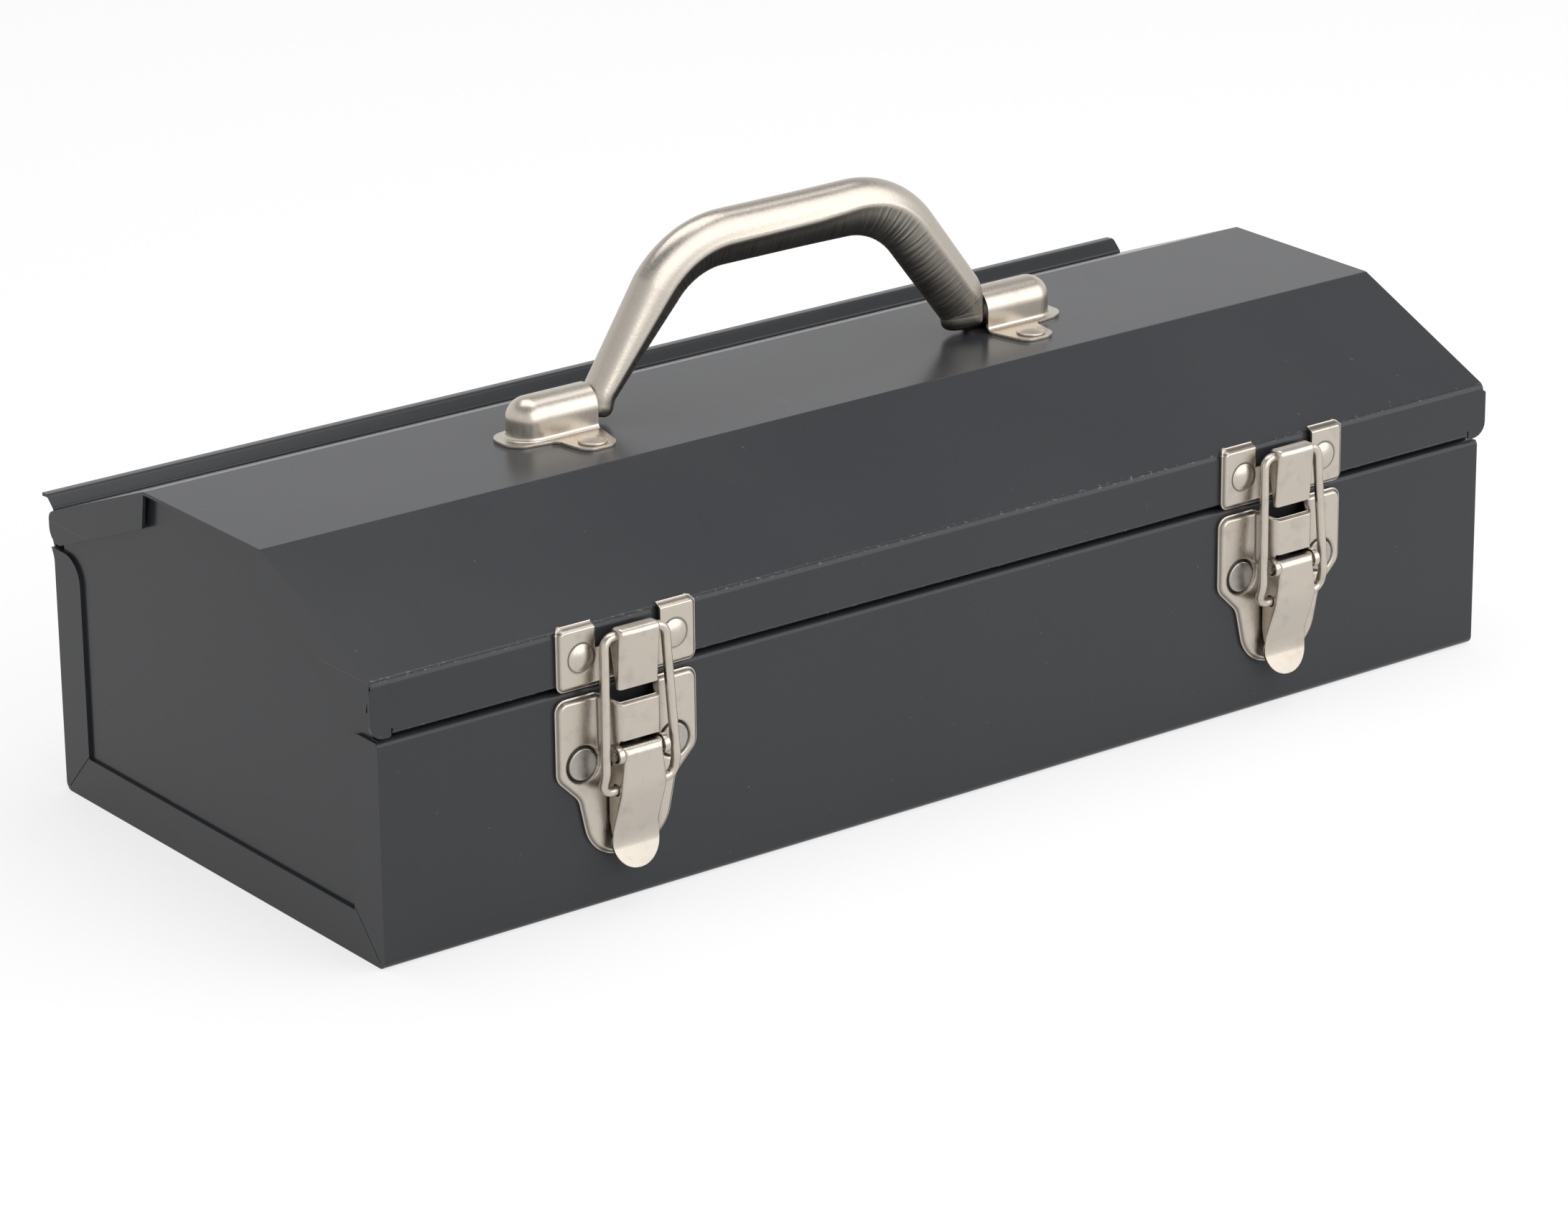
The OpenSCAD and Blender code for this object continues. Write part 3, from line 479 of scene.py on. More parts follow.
def make_piece(name, grids, material, body, replaced=(), sheet=0.0, edge=0.0):
    """One object from grids in mm. A sheet gets its thickness behind the surface, and edge is the
    rounding of its cut edges."""
    vertices, quads, lids, stored, start = [], [], [], [], 0
    for points, faces, rims, shade_and_streaks in grids:
        vertices.append(points)
        stored.append(shade_and_streaks)
        quads.append(faces + start)
        lids += [rim + start for rim in rims]
        start += len(points)
    quads = np.concatenate(quads)
    corners = np.concatenate([quads.ravel()] + lids)
    sizes = np.concatenate([np.full(len(quads), 4), np.array([len(rim) for rim in lids], int)])
    used, corners = np.unique(corners, return_inverse=True)
    mesh = bpy.data.meshes.new(name)
    mesh.vertices.add(len(used))
    mesh.vertices.foreach_set("co", (np.concatenate(vertices)[used] * MM).ravel())
    mesh.loops.add(len(corners))
    mesh.loops.foreach_set("vertex_index", corners.ravel())
    mesh.polygons.add(len(sizes))
    mesh.polygons.foreach_set("loop_start", np.concatenate([[0], np.cumsum(sizes)[:-1]]))
    mesh.polygons.foreach_set("use_smooth", np.ones(len(sizes), bool))
    mesh.update()
    # The stored values carry painted shade, and on the handle also the ways along and round it.
    layer = mesh.attributes.new("shade_and_streaks", "FLOAT_VECTOR", "POINT")
    layer.data.foreach_set("vector", np.concatenate(stored)[used].ravel())
    merged = bmesh.new()
    merged.from_mesh(mesh)
    bmesh.ops.remove_doubles(merged, verts=merged.verts, dist=WELD_GAP)
    bmesh.ops.dissolve_degenerate(merged, edges=merged.edges, dist=DEGENERATE)
    merged.to_mesh(mesh)
    merged.free()
    mesh.materials.append(material)
    piece = bpy.data.objects.new(name, mesh)
    bpy.context.scene.collection.objects.link(piece)
    if sheet:
        wall = piece.modifiers.new("sheet", "SOLIDIFY")
        wall.thickness = sheet * MM
        wall.offset = -1.0
    if edge:
        rounding = piece.modifiers.new("edge", "BEVEL")
        rounding.width = edge * MM
        rounding.segments = 2
        rounding.limit_method = "ANGLE"
        rounding.angle_limit = PIECE_CORNER
    shade = piece.modifiers.new("shade", "WEIGHTED_NORMAL")
    shade.keep_sharp = False
    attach(piece, body)
    if replaced:
        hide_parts(*replaced)


def round_corners(corners, radii, steps=12):
    """A path whose inner corners are arcs: each arc touches both sides, and its centre lies one
    radius from each of them."""
    corners = np.array(corners, float)
    path = [corners[:1]]
    for before, here, after, radius in zip(corners[:-2], corners[1:-1], corners[2:], radii):
        arrive = (here - before) / np.linalg.norm(here - before)
        leave = (after - here) / np.linalg.norm(after - here)
        turn = math.atan2(arrive[0] * leave[1] - arrive[1] * leave[0], arrive @ leave)
        start = here - arrive * radius * math.tan(abs(turn) / 2.0)
        centre = start + math.copysign(radius, turn) * np.array([-arrive[1], arrive[0]])
        spoke = start - centre
        angles = np.linspace(0.0, turn, steps + 1)
        path.append(centre + np.stack([
            spoke[0] * np.cos(angles) - spoke[1] * np.sin(angles),
            spoke[0] * np.sin(angles) + spoke[1] * np.cos(angles),
        ], axis=-1))
    path.append(corners[-1:])
    return np.concatenate(path)


def edge_distance(x, z, outline):
    """Distance from each point to the nearest side of an outline: the foot on each side is the
    projection, held between the side's ends."""
    start, side = outline[:-1], np.diff(outline, axis=0)
    length = np.maximum((side ** 2).sum(axis=1), 1e-9)
    points = np.stack([x.ravel(), z.ravel()], axis=-1)[:, None, :]
    share = np.clip(((points - start) * side).sum(axis=-1) / length, 0.0, 1.0)
    gap = points - start - share[..., None] * side
    return np.sqrt((gap ** 2).sum(axis=-1)).min(axis=1).reshape(x.shape)


def plate_columns(half, inner, widest, count):
    """X of each column of a plate, row by row: fixed steps up to inner, or to the widest share of
    the row's half width, and from there to the half width, crowded towards the outline."""
    outer = 1.0 - (1.0 - np.linspace(0.0, 1.0, count)) ** 1.5
    reach = np.minimum(inner[-1], widest * half)[:, None]
    beyond = reach + (half[:, None] - reach) * outer[1:]
    right = np.concatenate([reach * inner / inner[-1], beyond], axis=1)
    return np.concatenate([-right[:, :0:-1], right], axis=1)


def centres(values):
    """The mean of each quad's four corners."""
    return (values[:-1, :-1] + values[:-1, 1:] + values[1:, :-1] + values[1:, 1:]) / 4.0


def strike_grid(x_centre):
    """The plate's height over the lid: its rim rises from foot to face over the rim's width, the
    foot sinks along the top edge, and a shallow dish is pressed in round each rivet."""
    z_row = np.unique(np.append(crowded(STRIKE_LOW, STRIKE_TOP, 84), NOTCH_Z))
    to_end = np.minimum(z_row - STRIKE_LOW, STRIKE_TOP - z_row)
    cut = np.clip(STRIKE_CORNER - to_end, 0.0, STRIKE_CORNER)
    half = STRIKE_HALF - STRIKE_CORNER + np.sqrt(STRIKE_CORNER ** 2 - cut ** 2)
    x = plate_columns(half, np.linspace(0.0, WING_IN, 20), 1.0, 46)
    z = np.repeat(z_row[:, None], x.shape[1], axis=1)
    outline = round_corners([(0.0, STRIKE_LOW), (STRIKE_HALF, STRIKE_LOW),
                             (STRIKE_HALF, STRIKE_TOP), (0.0, STRIKE_TOP)], [STRIKE_CORNER] * 2)
    to_edge = edge_distance(np.abs(x), z, outline)
    foot = STRIKE_FOOT - TOP_SINK * smooth_step((z - STRIKE_TOP + TOP_FROM) / TOP_RUN)
    height = foot + (STRIKE_OUT - foot) * smooth_step(to_edge / RIM_WIDTH)
    ring = np.hypot(np.abs(x) - STRIKE_RIVET_X, z - STRIKE_RIVET_Z)
    height -= DISH_DEEP * (1.0 - smooth_step((ring - DISH_R) / DISH_SLOPE))
    points = np.stack([x_centre + x, LID_Y - height, z], axis=-1)
    keep = (np.abs(centres(x)) > WING_IN) | (centres(z) < NOTCH_Z)
    # Painted shade, stored for the material: darker at the foot of the rim and round the edge of
    # each dish.
    dark = bell(to_edge, *RIM_SHADE) + bell(ring, *DISH_SHADE)
    return grid(points, keep, shade_and_streaks=np.clip(dark, 0.0, MOST_SHADE))


for side, sign in SIDES:
    make_piece("strike_plate_" + side, [strike_grid(sign * LATCH_X)], LATCH_NICKEL, "lid",
               ["strike_" + side], LATCH_SHEET, SHEARED_EDGE)

# Rivets of the latches
# Solid steel rivets, nickel plated: domed heads on the strike plates, flat brushed pan heads in
# the recesses of the base plates, and small set heads inside the box.
FRONT_Y = -83.7
SHANK_R = 2.0
TAIL_R, TAIL_T, TAIL_SOFT, TAIL_CUT = 3.2, 0.9, 0.15, 0.5
HEAD_SOFT, HEAD_FOOT, HEAD_LIFT = 0.45, 0.1, 0.12
STRIKE_RIVET_Y, BASE_RIVET_Y = LID_Y + 2.2, FRONT_Y + 1.0
BASE_RIVET_X, BASE_RIVET_Z = 15.5, 44.6
RIVET_DARK = (0.33, 0.315, 0.30, 1.0)
RIVET_LIGHT = (0.45, 0.425, 0.39, 1.0)
SCUFF_SCALE, SCUFF_ROUGH = 620.0, 0.65
SCUFF_DEPTH, SCUFF_STRENGTH = 0.00012, 0.35
RIVET_ROUGHNESS = (0.26, 0.42)


def rivet_metal():
    """Dull nickel with the scuffed look of a head that was set with a tool."""
    material, tree, shader, place = new_material("scuffed_rivet_nickel")
    scuffs = noise(tree, place, SCUFF_SCALE, 4.0, SCUFF_ROUGH)
    dress(tree, shader, blend_colour(tree, scuffs, RIVET_DARK, RIVET_LIGHT),
          band(tree, scuffs, MOST_NOISE, RIVET_ROUGHNESS),
          relief(tree, scuffs, SCUFF_DEPTH, SCUFF_STRENGTH), 1.0)
    return material


def turned(profile, place, out, count=56):
    """A turned form: each radius and height of the profile goes once round the axis, which points
    to out, -Y or +Z."""
    profile = np.array(profile, float)
    angle = np.linspace(0.0, 2.0 * math.pi, count, endpoint=False)
    across = profile[:, :1] * np.cos(angle)
    along = profile[:, :1] * np.sin(angle)
    height = np.repeat(profile[:, 1:], count, axis=1)
    if out == "-Y":
        points = np.stack([place[0] + across, place[1] - height, place[2] + along], axis=-1)
    else:
        points = np.stack([place[0] + across, place[1] - along, place[2] + height], axis=-1)
    return grid(points, wrap=True, ends=True, flip=out != "-Y")


def rivet_profile(grip, head_r, edge, dome):
    """Radius and height: the set head, the shank, a quarter turn round the edge of the head, and a
    dome that falls with the square of the radius."""
    turn = np.linspace(0.0, math.pi / 2.0, 7)
    lower = [(0.02, -TAIL_T), (TAIL_R - TAIL_CUT, -TAIL_T),
             (TAIL_R - TAIL_SOFT, -TAIL_T + TAIL_SOFT), (TAIL_R, -TAIL_T + TAIL_CUT),
             (TAIL_R, 0.0), (SHANK_R, 0.0), (SHANK_R, grip), (head_r - HEAD_FOOT, grip),
             (head_r, grip + HEAD_LIFT)]
    shoulder = [(head_r - HEAD_SOFT * (1.0 - math.cos(a)),
                 grip + edge - HEAD_FOOT + HEAD_SOFT * 0.8 * math.sin(a)) for a in turn]
    top = shoulder[-1][1]
    crown = [(head_r * share - HEAD_SOFT * share,
              top + (grip + edge + dome - top) * (1.0 - share ** 2))
             for share in np.linspace(0.96, 0.01, 16)]
    return lower + shoulder + crown


DOMED = rivet_profile(grip=3.2, head_r=4.1, edge=0.9, dome=1.1)
PAN = rivet_profile(grip=2.0, head_r=4.6, edge=1.0, dome=0.35)
RIVET_METAL = rivet_metal()
for side, sign in SIDES:
    for kind, profile, metal, body, x, y, z in (
        ("strike_rivets_", DOMED, LATCH_NICKEL, "lid",
         STRIKE_RIVET_X, STRIKE_RIVET_Y, STRIKE_RIVET_Z),
        ("latch_base_rivets_", PAN, RIVET_METAL, "case", BASE_RIVET_X, BASE_RIVET_Y, BASE_RIVET_Z),
    ):
        heads = [turned(profile, (sign * LATCH_X + row * x, y, z), "-Y") for row in (-1.0, 1.0)]
        make_piece(kind + "pair_" + side, heads, metal, body, [kind + side])

# Latch base plates
# Shield-shaped nickel pressings on the front wall. The middle is drawn out to a hollow channel,
# open at the top edge and slotted below for the lever, with two tabs curled to eyes for its pin.
BASE_HALF, BASE_TOP, BASE_LOW = 23.8, 64.4, 15.0
SHOULDER_Z, WAIST_Z = 41.2, 33.9
WAIST_HALF, FOOT_HALF = 16.5, 12.4
BASE_BENDS = (12.2, 6.0, 5.0, 3.5)
BASE_FOOT, BASE_OUT = 1.0, 2.2
CHANNEL_FOOT, CHANNEL_SLOPE, CHANNEL_RISE = 10.9, 5.3, 6.0
CHANNEL_FROM, CHANNEL_FADE = 44.6, 6.2
CHANNEL_LOW = 50.95
SLOT_HALF, SLOT_LOW = 6.75, 44.2
RECESS_R, RECESS_SLOPE, RECESS_DEEP = 4.7, 1.1, 1.1
DIP_FROM, DIP_DEEP = 56.0, 2.3
OPEN_Z = 58.0
RECESS_SHADE = (0.85, 4.95, 0.42)
CHANNEL_SHADE, CHANNEL_SHADE_Z = (0.55, 9.6, 1.5), 42.0
BELOW_SHADE, BELOW_SHADE_Z = (0.5, 8.6, 1.3), 44.0
SHADE_FADE = 6.0
PIVOT_Y, PIVOT_Z = -91.1, 46.8
TAB_Y, TAB_Z = -86.0, 48.6
TAB_IN, TAB_OUT = 6.8, 8.5
TAB_SHEET, TAB_EDGE = 0.62, 0.1
CURL_R, CURL_END_R = 2.9, 2.0
CURL_FROM, CURL_TO = 90.0, 480.0


def base_outline():
    """The right half of the shield, from the middle of its foot to the middle of its top."""
    corners = [(0.0, BASE_LOW), (FOOT_HALF, BASE_LOW), (WAIST_HALF, WAIST_Z),
               (BASE_HALF, SHOULDER_Z), (BASE_HALF, BASE_TOP), (0.0, BASE_TOP)]
    return round_corners(corners, BASE_BENDS, 20)


def base_grid(x_centre):
    """Height over the wall: the rim, the channel, which rises between 11 and 5.6 mm from the middle
    and fades out below its slot, and a round recess at each rivet. The top edge dips over the
    channel, because the sheet was drawn out there."""
    outline = base_outline()
    z_row = np.unique(np.append(crowded(BASE_LOW, BASE_TOP, 190), [SLOT_LOW, CHANNEL_LOW]))
    half = np.maximum(np.interp(z_row, outline[:-1, 1], outline[:-1, 0]), 0.4)
    inner = np.unique(np.append(np.linspace(0.0, 8.4, 25), SLOT_HALF))
    x = plate_columns(half, inner, 0.6, 44)
    z = np.repeat(z_row[:, None], x.shape[1], axis=1)
    bridge = smooth_step((CHANNEL_FOOT - np.abs(x)) / CHANNEL_SLOPE)
    fade = smooth_step((z - CHANNEL_FROM) / CHANNEL_FADE)
    to_edge = edge_distance(np.abs(x), z, outline)
    rim = smooth_step(to_edge / RIM_WIDTH)
    recess = np.hypot(np.abs(x) - BASE_RIVET_X, z - BASE_RIVET_Z)
    height = BASE_FOOT + (BASE_OUT - BASE_FOOT) * rim + CHANNEL_RISE * bridge * fade
    height -= RECESS_DEEP * (1.0 - smooth_step((recess - RECESS_R) / RECESS_SLOPE))
    dip = DIP_DEEP * bridge * np.clip((z - DIP_FROM) / (BASE_TOP - DIP_FROM), 0.0, 1.0) ** 2
    points = np.stack([x_centre + x, FRONT_Y - height, z - dip], axis=-1)
    in_slot = np.abs(centres(x)) < SLOT_HALF
    in_slot &= (centres(z) > SLOT_LOW) & (centres(z) < CHANNEL_LOW)
    # Painted shade, stored for the material: darker at the foot of the rim, except over the open
    # channel, round each recess, and beside the channel above and below its slot.
    dark = bell(to_edge, *RIM_SHADE) * (1.0 - bridge * (z > OPEN_Z)) + bell(recess, *RECESS_SHADE)
    dark += bell(np.abs(x), *CHANNEL_SHADE) * smooth_step((z - CHANNEL_SHADE_Z) / SHADE_FADE)
    dark += bell(np.abs(x), *BELOW_SHADE) * smooth_step((BELOW_SHADE_Z - z) / SHADE_FADE)
    return grid(points, ~in_slot, shade_and_streaks=np.clip(dark, 0.0, MOST_SHADE))


def eye_grid(x_centre, x_in, x_out):
    """A curled tab: it leaves the plate above the pin, turns over it and once round, and its radius
    shrinks evenly with the angle."""
    angle = np.radians(np.linspace(CURL_FROM, CURL_TO, 64))
    radius = np.linspace(CURL_R, CURL_END_R, 64)
    y = np.append(np.linspace(TAB_Y, PIVOT_Y - 0.2, 10), PIVOT_Y + radius * np.cos(angle))
    z = np.append(np.linspace(TAB_Z, PIVOT_Z + CURL_R, 10), PIVOT_Z + radius * np.sin(angle))
    x = x_centre + np.array([x_in, (x_in + x_out) / 2.0, x_out])
    points = np.stack(np.broadcast_arrays(x[None, :], y[:, None], z[:, None]), axis=-1)
    return grid(points, flip=True)


for side, sign in SIDES:
    middle = sign * LATCH_X
    make_piece("base_plate_" + side, [base_grid(middle)], LATCH_NICKEL, "case",
               ["latch_base_" + side], LATCH_SHEET, SHEARED_EDGE)
    eyes = [eye_grid(middle, -TAB_OUT, -TAB_IN), eye_grid(middle, TAB_IN, TAB_OUT)]
    make_piece("base_eyes_" + side, eyes, LATCH_NICKEL, "case", (), TAB_SHEET, TAB_EDGE)

# Levers
# Bowed nickel channels that turn on the pins: a rolled top, side walls with a hole for the bail,
# and a flat round thumb tongue that flares outwards.
LEVER_SHEET, FORMED_EDGE = 0.85, 0.12
LEVER_HALF, LEVER_LOW_HALF = 6.5, 7.6
ROLL_R, ROLL_FROM, ROLL_TO = 2.55, -75.0, 180.0
BAIL_Y, BAIL_Z = -90.0, 36.3
NECK_Y, NECK_Z = -88.1, 20.6
TIP_Y, TIP_Z = -90.5, 11.8
LEVER_BENDS = (14.0, 9.0)
SHOULDER_TOP, FLARE_Z = 45.5, 24.0
BACK_Z = (NECK_Z, 26.6, 41.7, SHOULDER_TOP, 47.6, 49.0)
BACK_Y = (-88.3, -86.9, -86.9, -88.9, -90.6, -92.6)
WALL_GROWS = 3.0
TONGUE_R = 7.8
HOLE_R = 1.78
LEVER_EDGE_R = 1.25
LEVER_CROWN = 0.18
LEVER_COLUMNS = 97


def even_path(path, count):
    """The same path with its points at even steps of its length."""
    run = np.append(0.0, np.cumsum(np.linalg.norm(np.diff(path, axis=0), axis=1)))
    even = np.linspace(0.0, run[-1], count)
    return np.stack([np.interp(even, run, path[:, axis]) for axis in range(path.shape[1])], axis=-1)


def channel_section(share, half, depth, radius):
    """Across a channel at even steps of its length: up the left wall, round its edge, over the
    face, and back down the right wall. Returns X and the distance behind the face."""
    wall, arc, face = depth - radius, radius * math.pi / 2.0, half - radius
    length = (wall + arc + face) * np.abs(2.0 * share - 1.0)
    on_face = np.minimum(length, face)
    angle = np.clip(length - face, 0.0, arc) / np.maximum(radius, 1e-6)
    down = np.maximum(length - face - arc, 0.0)
    x = on_face + radius * np.sin(angle)
    return np.sign(share - 0.5) * x, radius * (1.0 - np.cos(angle)) + down


def lever_grid(x_centre):
    """Rows follow the roll over the pin and then the bowed face to the tip of the tongue, a circle.
    The side walls reach back to the line of the plate, and end at the roll and at the neck. Points
    inside the bail's hole move out to its rim. The face is crowned by the square of X."""
    roll = np.radians(np.linspace(ROLL_FROM, ROLL_TO, 34))
    top = PIVOT_Y - ROLL_R
    face = even_path(round_corners([(top, PIVOT_Z), (top - 0.2, BAIL_Z), (NECK_Y, NECK_Z),
                                    (TIP_Y, TIP_Z)], LEVER_BENDS, 30), 170)[1:]
    y = np.append(PIVOT_Y + ROLL_R * np.cos(roll), face[:, 0])
    z = np.append(PIVOT_Z + ROLL_R * np.sin(roll), face[:, 1])
    tongue_z = TIP_Z + TONGUE_R
    straight = np.interp(z, [BAIL_Z, SHOULDER_TOP], [LEVER_LOW_HALF, LEVER_HALF])
    flare = np.interp(z, [tongue_z, FLARE_Z], [TONGUE_R, LEVER_LOW_HALF])
    round_end = np.sqrt(np.clip(TONGUE_R ** 2 - (tongue_z - z) ** 2, 0.12, None))
    half = np.where(z < tongue_z, round_end, np.where(z < FLARE_Z, flare, straight))
    is_face = np.arange(len(z)) >= len(roll)
    walled = (is_face | (y < PIVOT_Y - 1.2)) & (z > NECK_Z)
    depth = np.where(walled, np.clip(np.interp(z, BACK_Z, BACK_Y) - y, 0.0, None), 0.0)
    depth *= smooth_step((z - NECK_Z) / WALL_GROWS)
    radius = np.minimum(LEVER_EDGE_R, depth * 0.6)
    share = np.linspace(0.0, 1.0, LEVER_COLUMNS)[None, :]
    x, behind = channel_section(share, half[:, None], depth[:, None], radius[:, None])
    bulge = 1.0 - np.clip(np.abs(x) / LEVER_LOW_HALF, 0.0, 1.0) ** 2
    on_face = 1.0 * is_face[:, None]
    y = y[:, None] + behind - LEVER_CROWN * bulge * on_face + LEVER_CROWN * on_face
    z = np.repeat(z[:, None], LEVER_COLUMNS, axis=1)
    gap = np.hypot(y - BAIL_Y, z - BAIL_Z)
    inside = (gap < HOLE_R) & (behind > LEVER_EDGE_R)
    push = np.where(inside, HOLE_R / np.maximum(gap, 1e-6), 1.0)
    points = np.stack([x_centre + x, BAIL_Y + (y - BAIL_Y) * push,
                       BAIL_Z + (z - BAIL_Z) * push], axis=-1)
    return grid(points, centres(1.0 * inside) < 1.0, flip=True)


for side, sign in SIDES:
    make_piece("thumb_lever_" + side, [lever_grid(sign * LATCH_X)], LATCH_NICKEL, "lever_" + side,
               ["lever_" + side], LEVER_SHEET, FORMED_EDGE)

# Bails
# Bent nickel-plated wire, 2.8 mm thick. Each is one loop: its ends hook into the lever's side
# walls, and its top bar lies in the claw.
WIRE_R = 1.4
BAIL_TILT = math.radians(2.9)
BAIL_BOW, BOW_RUN = 1.7, 7.0
BAIL_H = 44.8
BAIL_BEND = 3.0
LEG_LOW, LEG_HIGH = 12.1, 10.2
HOOK_IN = 6.2


def headings(path):
    """The way that the path goes at each of its points, one unit long."""
    step = np.gradient(path, axis=0)
    return step / np.linalg.norm(step, axis=1, keepdims=True)


def swept(path, across, up, count):
    """A tube: at each point of the path, the ring is across times the cosine plus up times the
    sine of the angle."""
    angle = np.linspace(0.0, 2.0 * math.pi, count, endpoint=False)[None, :, None]
    ring = across[:, None, :] * np.cos(angle) + up[:, None, :] * np.sin(angle)
    return path[:, None, :] + ring


def bail_grid(x_centre):
    """The wire runs hook, leg, bar, leg, hook. The legs bow forward of the hooks' line, and the
    whole loop leans back about that line."""
    flat = even_path(round_corners(
        [(-HOOK_IN, 0.0), (-LEG_LOW, 0.0), (-LEG_HIGH, BAIL_H), (LEG_HIGH, BAIL_H),
         (LEG_LOW, 0.0), (HOOK_IN, 0.0)], [BAIL_BEND] * 4, 16), 420)
    bow = -BAIL_BOW * smooth_step(flat[:, 1] / BOW_RUN)
    y = bow * math.cos(BAIL_TILT) + flat[:, 1] * math.sin(BAIL_TILT)
    z = flat[:, 1] * math.cos(BAIL_TILT) - bow * math.sin(BAIL_TILT)
    path = np.stack([x_centre + flat[:, 0], BAIL_Y + y, BAIL_Z + z], axis=-1)
    heading = headings(path)
    across = np.cross(heading, np.array([0.0, 1.0, 0.0]))
    across *= WIRE_R / np.linalg.norm(across, axis=1, keepdims=True)
    return grid(swept(path, across, np.cross(heading, across), 22), wrap=True, ends=True)


for side, sign in SIDES:
    make_piece("wire_bail_" + side, [bail_grid(sign * LATCH_X)], LATCH_NICKEL, "bail_" + side,
               ["bail_" + side])

# Claws
# Pressed nickel caps over the top bars of the bails: a slightly bulged face whose edges round
# back into closed side walls, and a cut rear edge that is a little ragged.
CLAW_SHEET = 0.8
BAR_Y, BAR_Z = -89.43, 81.1
CLAW_R, CLAW_FACE, CLAW_LOW = 2.45, 3.45, 65.8
CLAW_HALF, CLAW_EDGE_R = 6.85, 1.15
CLAW_LEAN = 1.6
CLAW_BENDS = (2.3, 2.0)
CLAW_REAR_Z = BAR_Z - 1.2
CLAW_BACK_TOP = (BAR_Y + CLAW_R - 0.3, BAR_Z - 1.6)
CLAW_BACK_LOW = (-89.9, CLAW_LOW + 0.1)
CLAW_BULGE, CLAW_SINK = 0.22, 0.2
CLAW_RIDGE = (0.05, CLAW_HALF - 1.6, 0.9)
FACE_FROM, FACE_GROWS, FACE_ENDS = 0.30, 0.12, 0.05
RAGGED, RAGGED_RUN = ((0.10, 5.1, 0.7), (0.08, 11.3, 2.0)), 0.05
FACE_COLUMNS, ARC_COLUMNS, WALL_COLUMNS = 24, 8, 6


def quarter_left(heading):
    """The headings in a plane, turned a quarter turn to the left."""
    return np.stack([-heading[:, 1], heading[:, 0]], axis=-1)


def waves(run, rows):
    """The sum of sines along the run, each with its height, its pace and its start."""
    return sum(height * np.sin(run * pace + start) for height, pace, start in rows)


def claw_grid(x_centre):
    """Rows follow the cap's side view from the rear edge over the top and down the face. Columns
    cross it: a flat side wall, a round edge, the face, bulged by the square of X with a faint ridge
    near each edge, and the same again. Two sines of X make the rear edge ragged."""
    view = even_path(round_corners(
        [(BAR_Y + CLAW_R, CLAW_REAR_Z), (BAR_Y + CLAW_R, BAR_Z + CLAW_R),
         (BAR_Y - CLAW_FACE, BAR_Z + CLAW_R), (BAR_Y - CLAW_FACE + CLAW_LEAN, CLAW_LOW)],
        CLAW_BENDS, 14), 120)
    inward = quarter_left(headings(view))
    share = np.linspace(0.0, 1.0, len(view))[:, None]
    back = (1.0 - share) * np.array(CLAW_BACK_TOP) + share * np.array(CLAW_BACK_LOW)
    turn = np.linspace(0.0, math.pi / 2.0, ARC_COLUMNS)[1:]
    right_x = np.concatenate([np.linspace(0.0, CLAW_HALF - CLAW_EDGE_R, FACE_COLUMNS),
                              CLAW_HALF - CLAW_EDGE_R * (1.0 - np.sin(turn)),
                              np.full(WALL_COLUMNS, CLAW_HALF)])
    right_in = np.concatenate([np.zeros(FACE_COLUMNS), CLAW_EDGE_R * (1.0 - np.cos(turn)),
                               np.full(WALL_COLUMNS, CLAW_EDGE_R)])
    to_back = np.append(np.zeros(FACE_COLUMNS + ARC_COLUMNS - 1),
                        np.arange(1, WALL_COLUMNS + 1) / WALL_COLUMNS)
    x = np.append(-right_x[:0:-1], right_x)
    inset = np.append(right_in[:0:-1], right_in)
    to_back = np.append(to_back[:0:-1], to_back)[None, :]
    bulge = CLAW_BULGE * (1.0 - np.clip(np.abs(x) / CLAW_HALF, 0.0, 1.0) ** 2)
    on_face = smooth_step((share - FACE_FROM) / FACE_GROWS) * smooth_step((1.0 - share) / FACE_ENDS)
    lift = (bulge + bell(np.abs(x), *CLAW_RIDGE))[None, :] * on_face - CLAW_SINK * on_face
    outer = view[:, None, :] + inward[:, None, :] * (inset[None, :] - lift)[..., None]
    at_rear = smooth_step(1.0 - share / RAGGED_RUN)
    outer[:, :, 1] += waves(x, RAGGED)[None, :] * at_rear * (to_back == 0.0)
    place = outer + (back[:, None, :] - outer) * to_back[..., None]
    x = np.broadcast_to(x_centre + x, place.shape[:2])
    return grid(np.stack([x, place[..., 0], place[..., 1]], axis=-1), flip=True)


for side, sign in SIDES:
    make_piece("claw_cap_" + side, [claw_grid(sign * LATCH_X)], LATCH_NICKEL, "bail_" + side,
               ["claw_" + side], CLAW_SHEET, FORMED_EDGE)

# Handle brackets
# Nickel-plated hoods pressed from one sheet: a half-round tunnel for the handle's end, closed by
# a round nose, that flows into a flat flange with two riveted ears.
ROOF_Z, HANDLE_Z = 106.7, 113.1
HOOD_R = 6.5
HOOD_IN, HOOD_NOSE, HOOD_OUT = 71.5, 91.4, 97.9
FLANGE_T = 1.0
FILLET_R = 1.25
EAR_X, EAR_Y = 80.2, 15.8
EAR_HALF, EAR_OUT, EAR_SPREAD = 5.6, 5.4, 2.0
MOUTH_OUT, NECK_OUT, NOSE_OUT = 1.6, 2.2, 3.4
BRACKET_BENDS = (4.6, 4.6, 3.0, 6.0)
BRACKET_SHEET = FLANGE_T - 0.02
BRACKET_NICKEL = nickel_plate("satin_nickel_bracket", (2600.0, 2600.0, 220.0), 0.42)
EAR_RIVET = rivet_profile(grip=2.0, head_r=4.3, edge=0.5, dome=0.85)


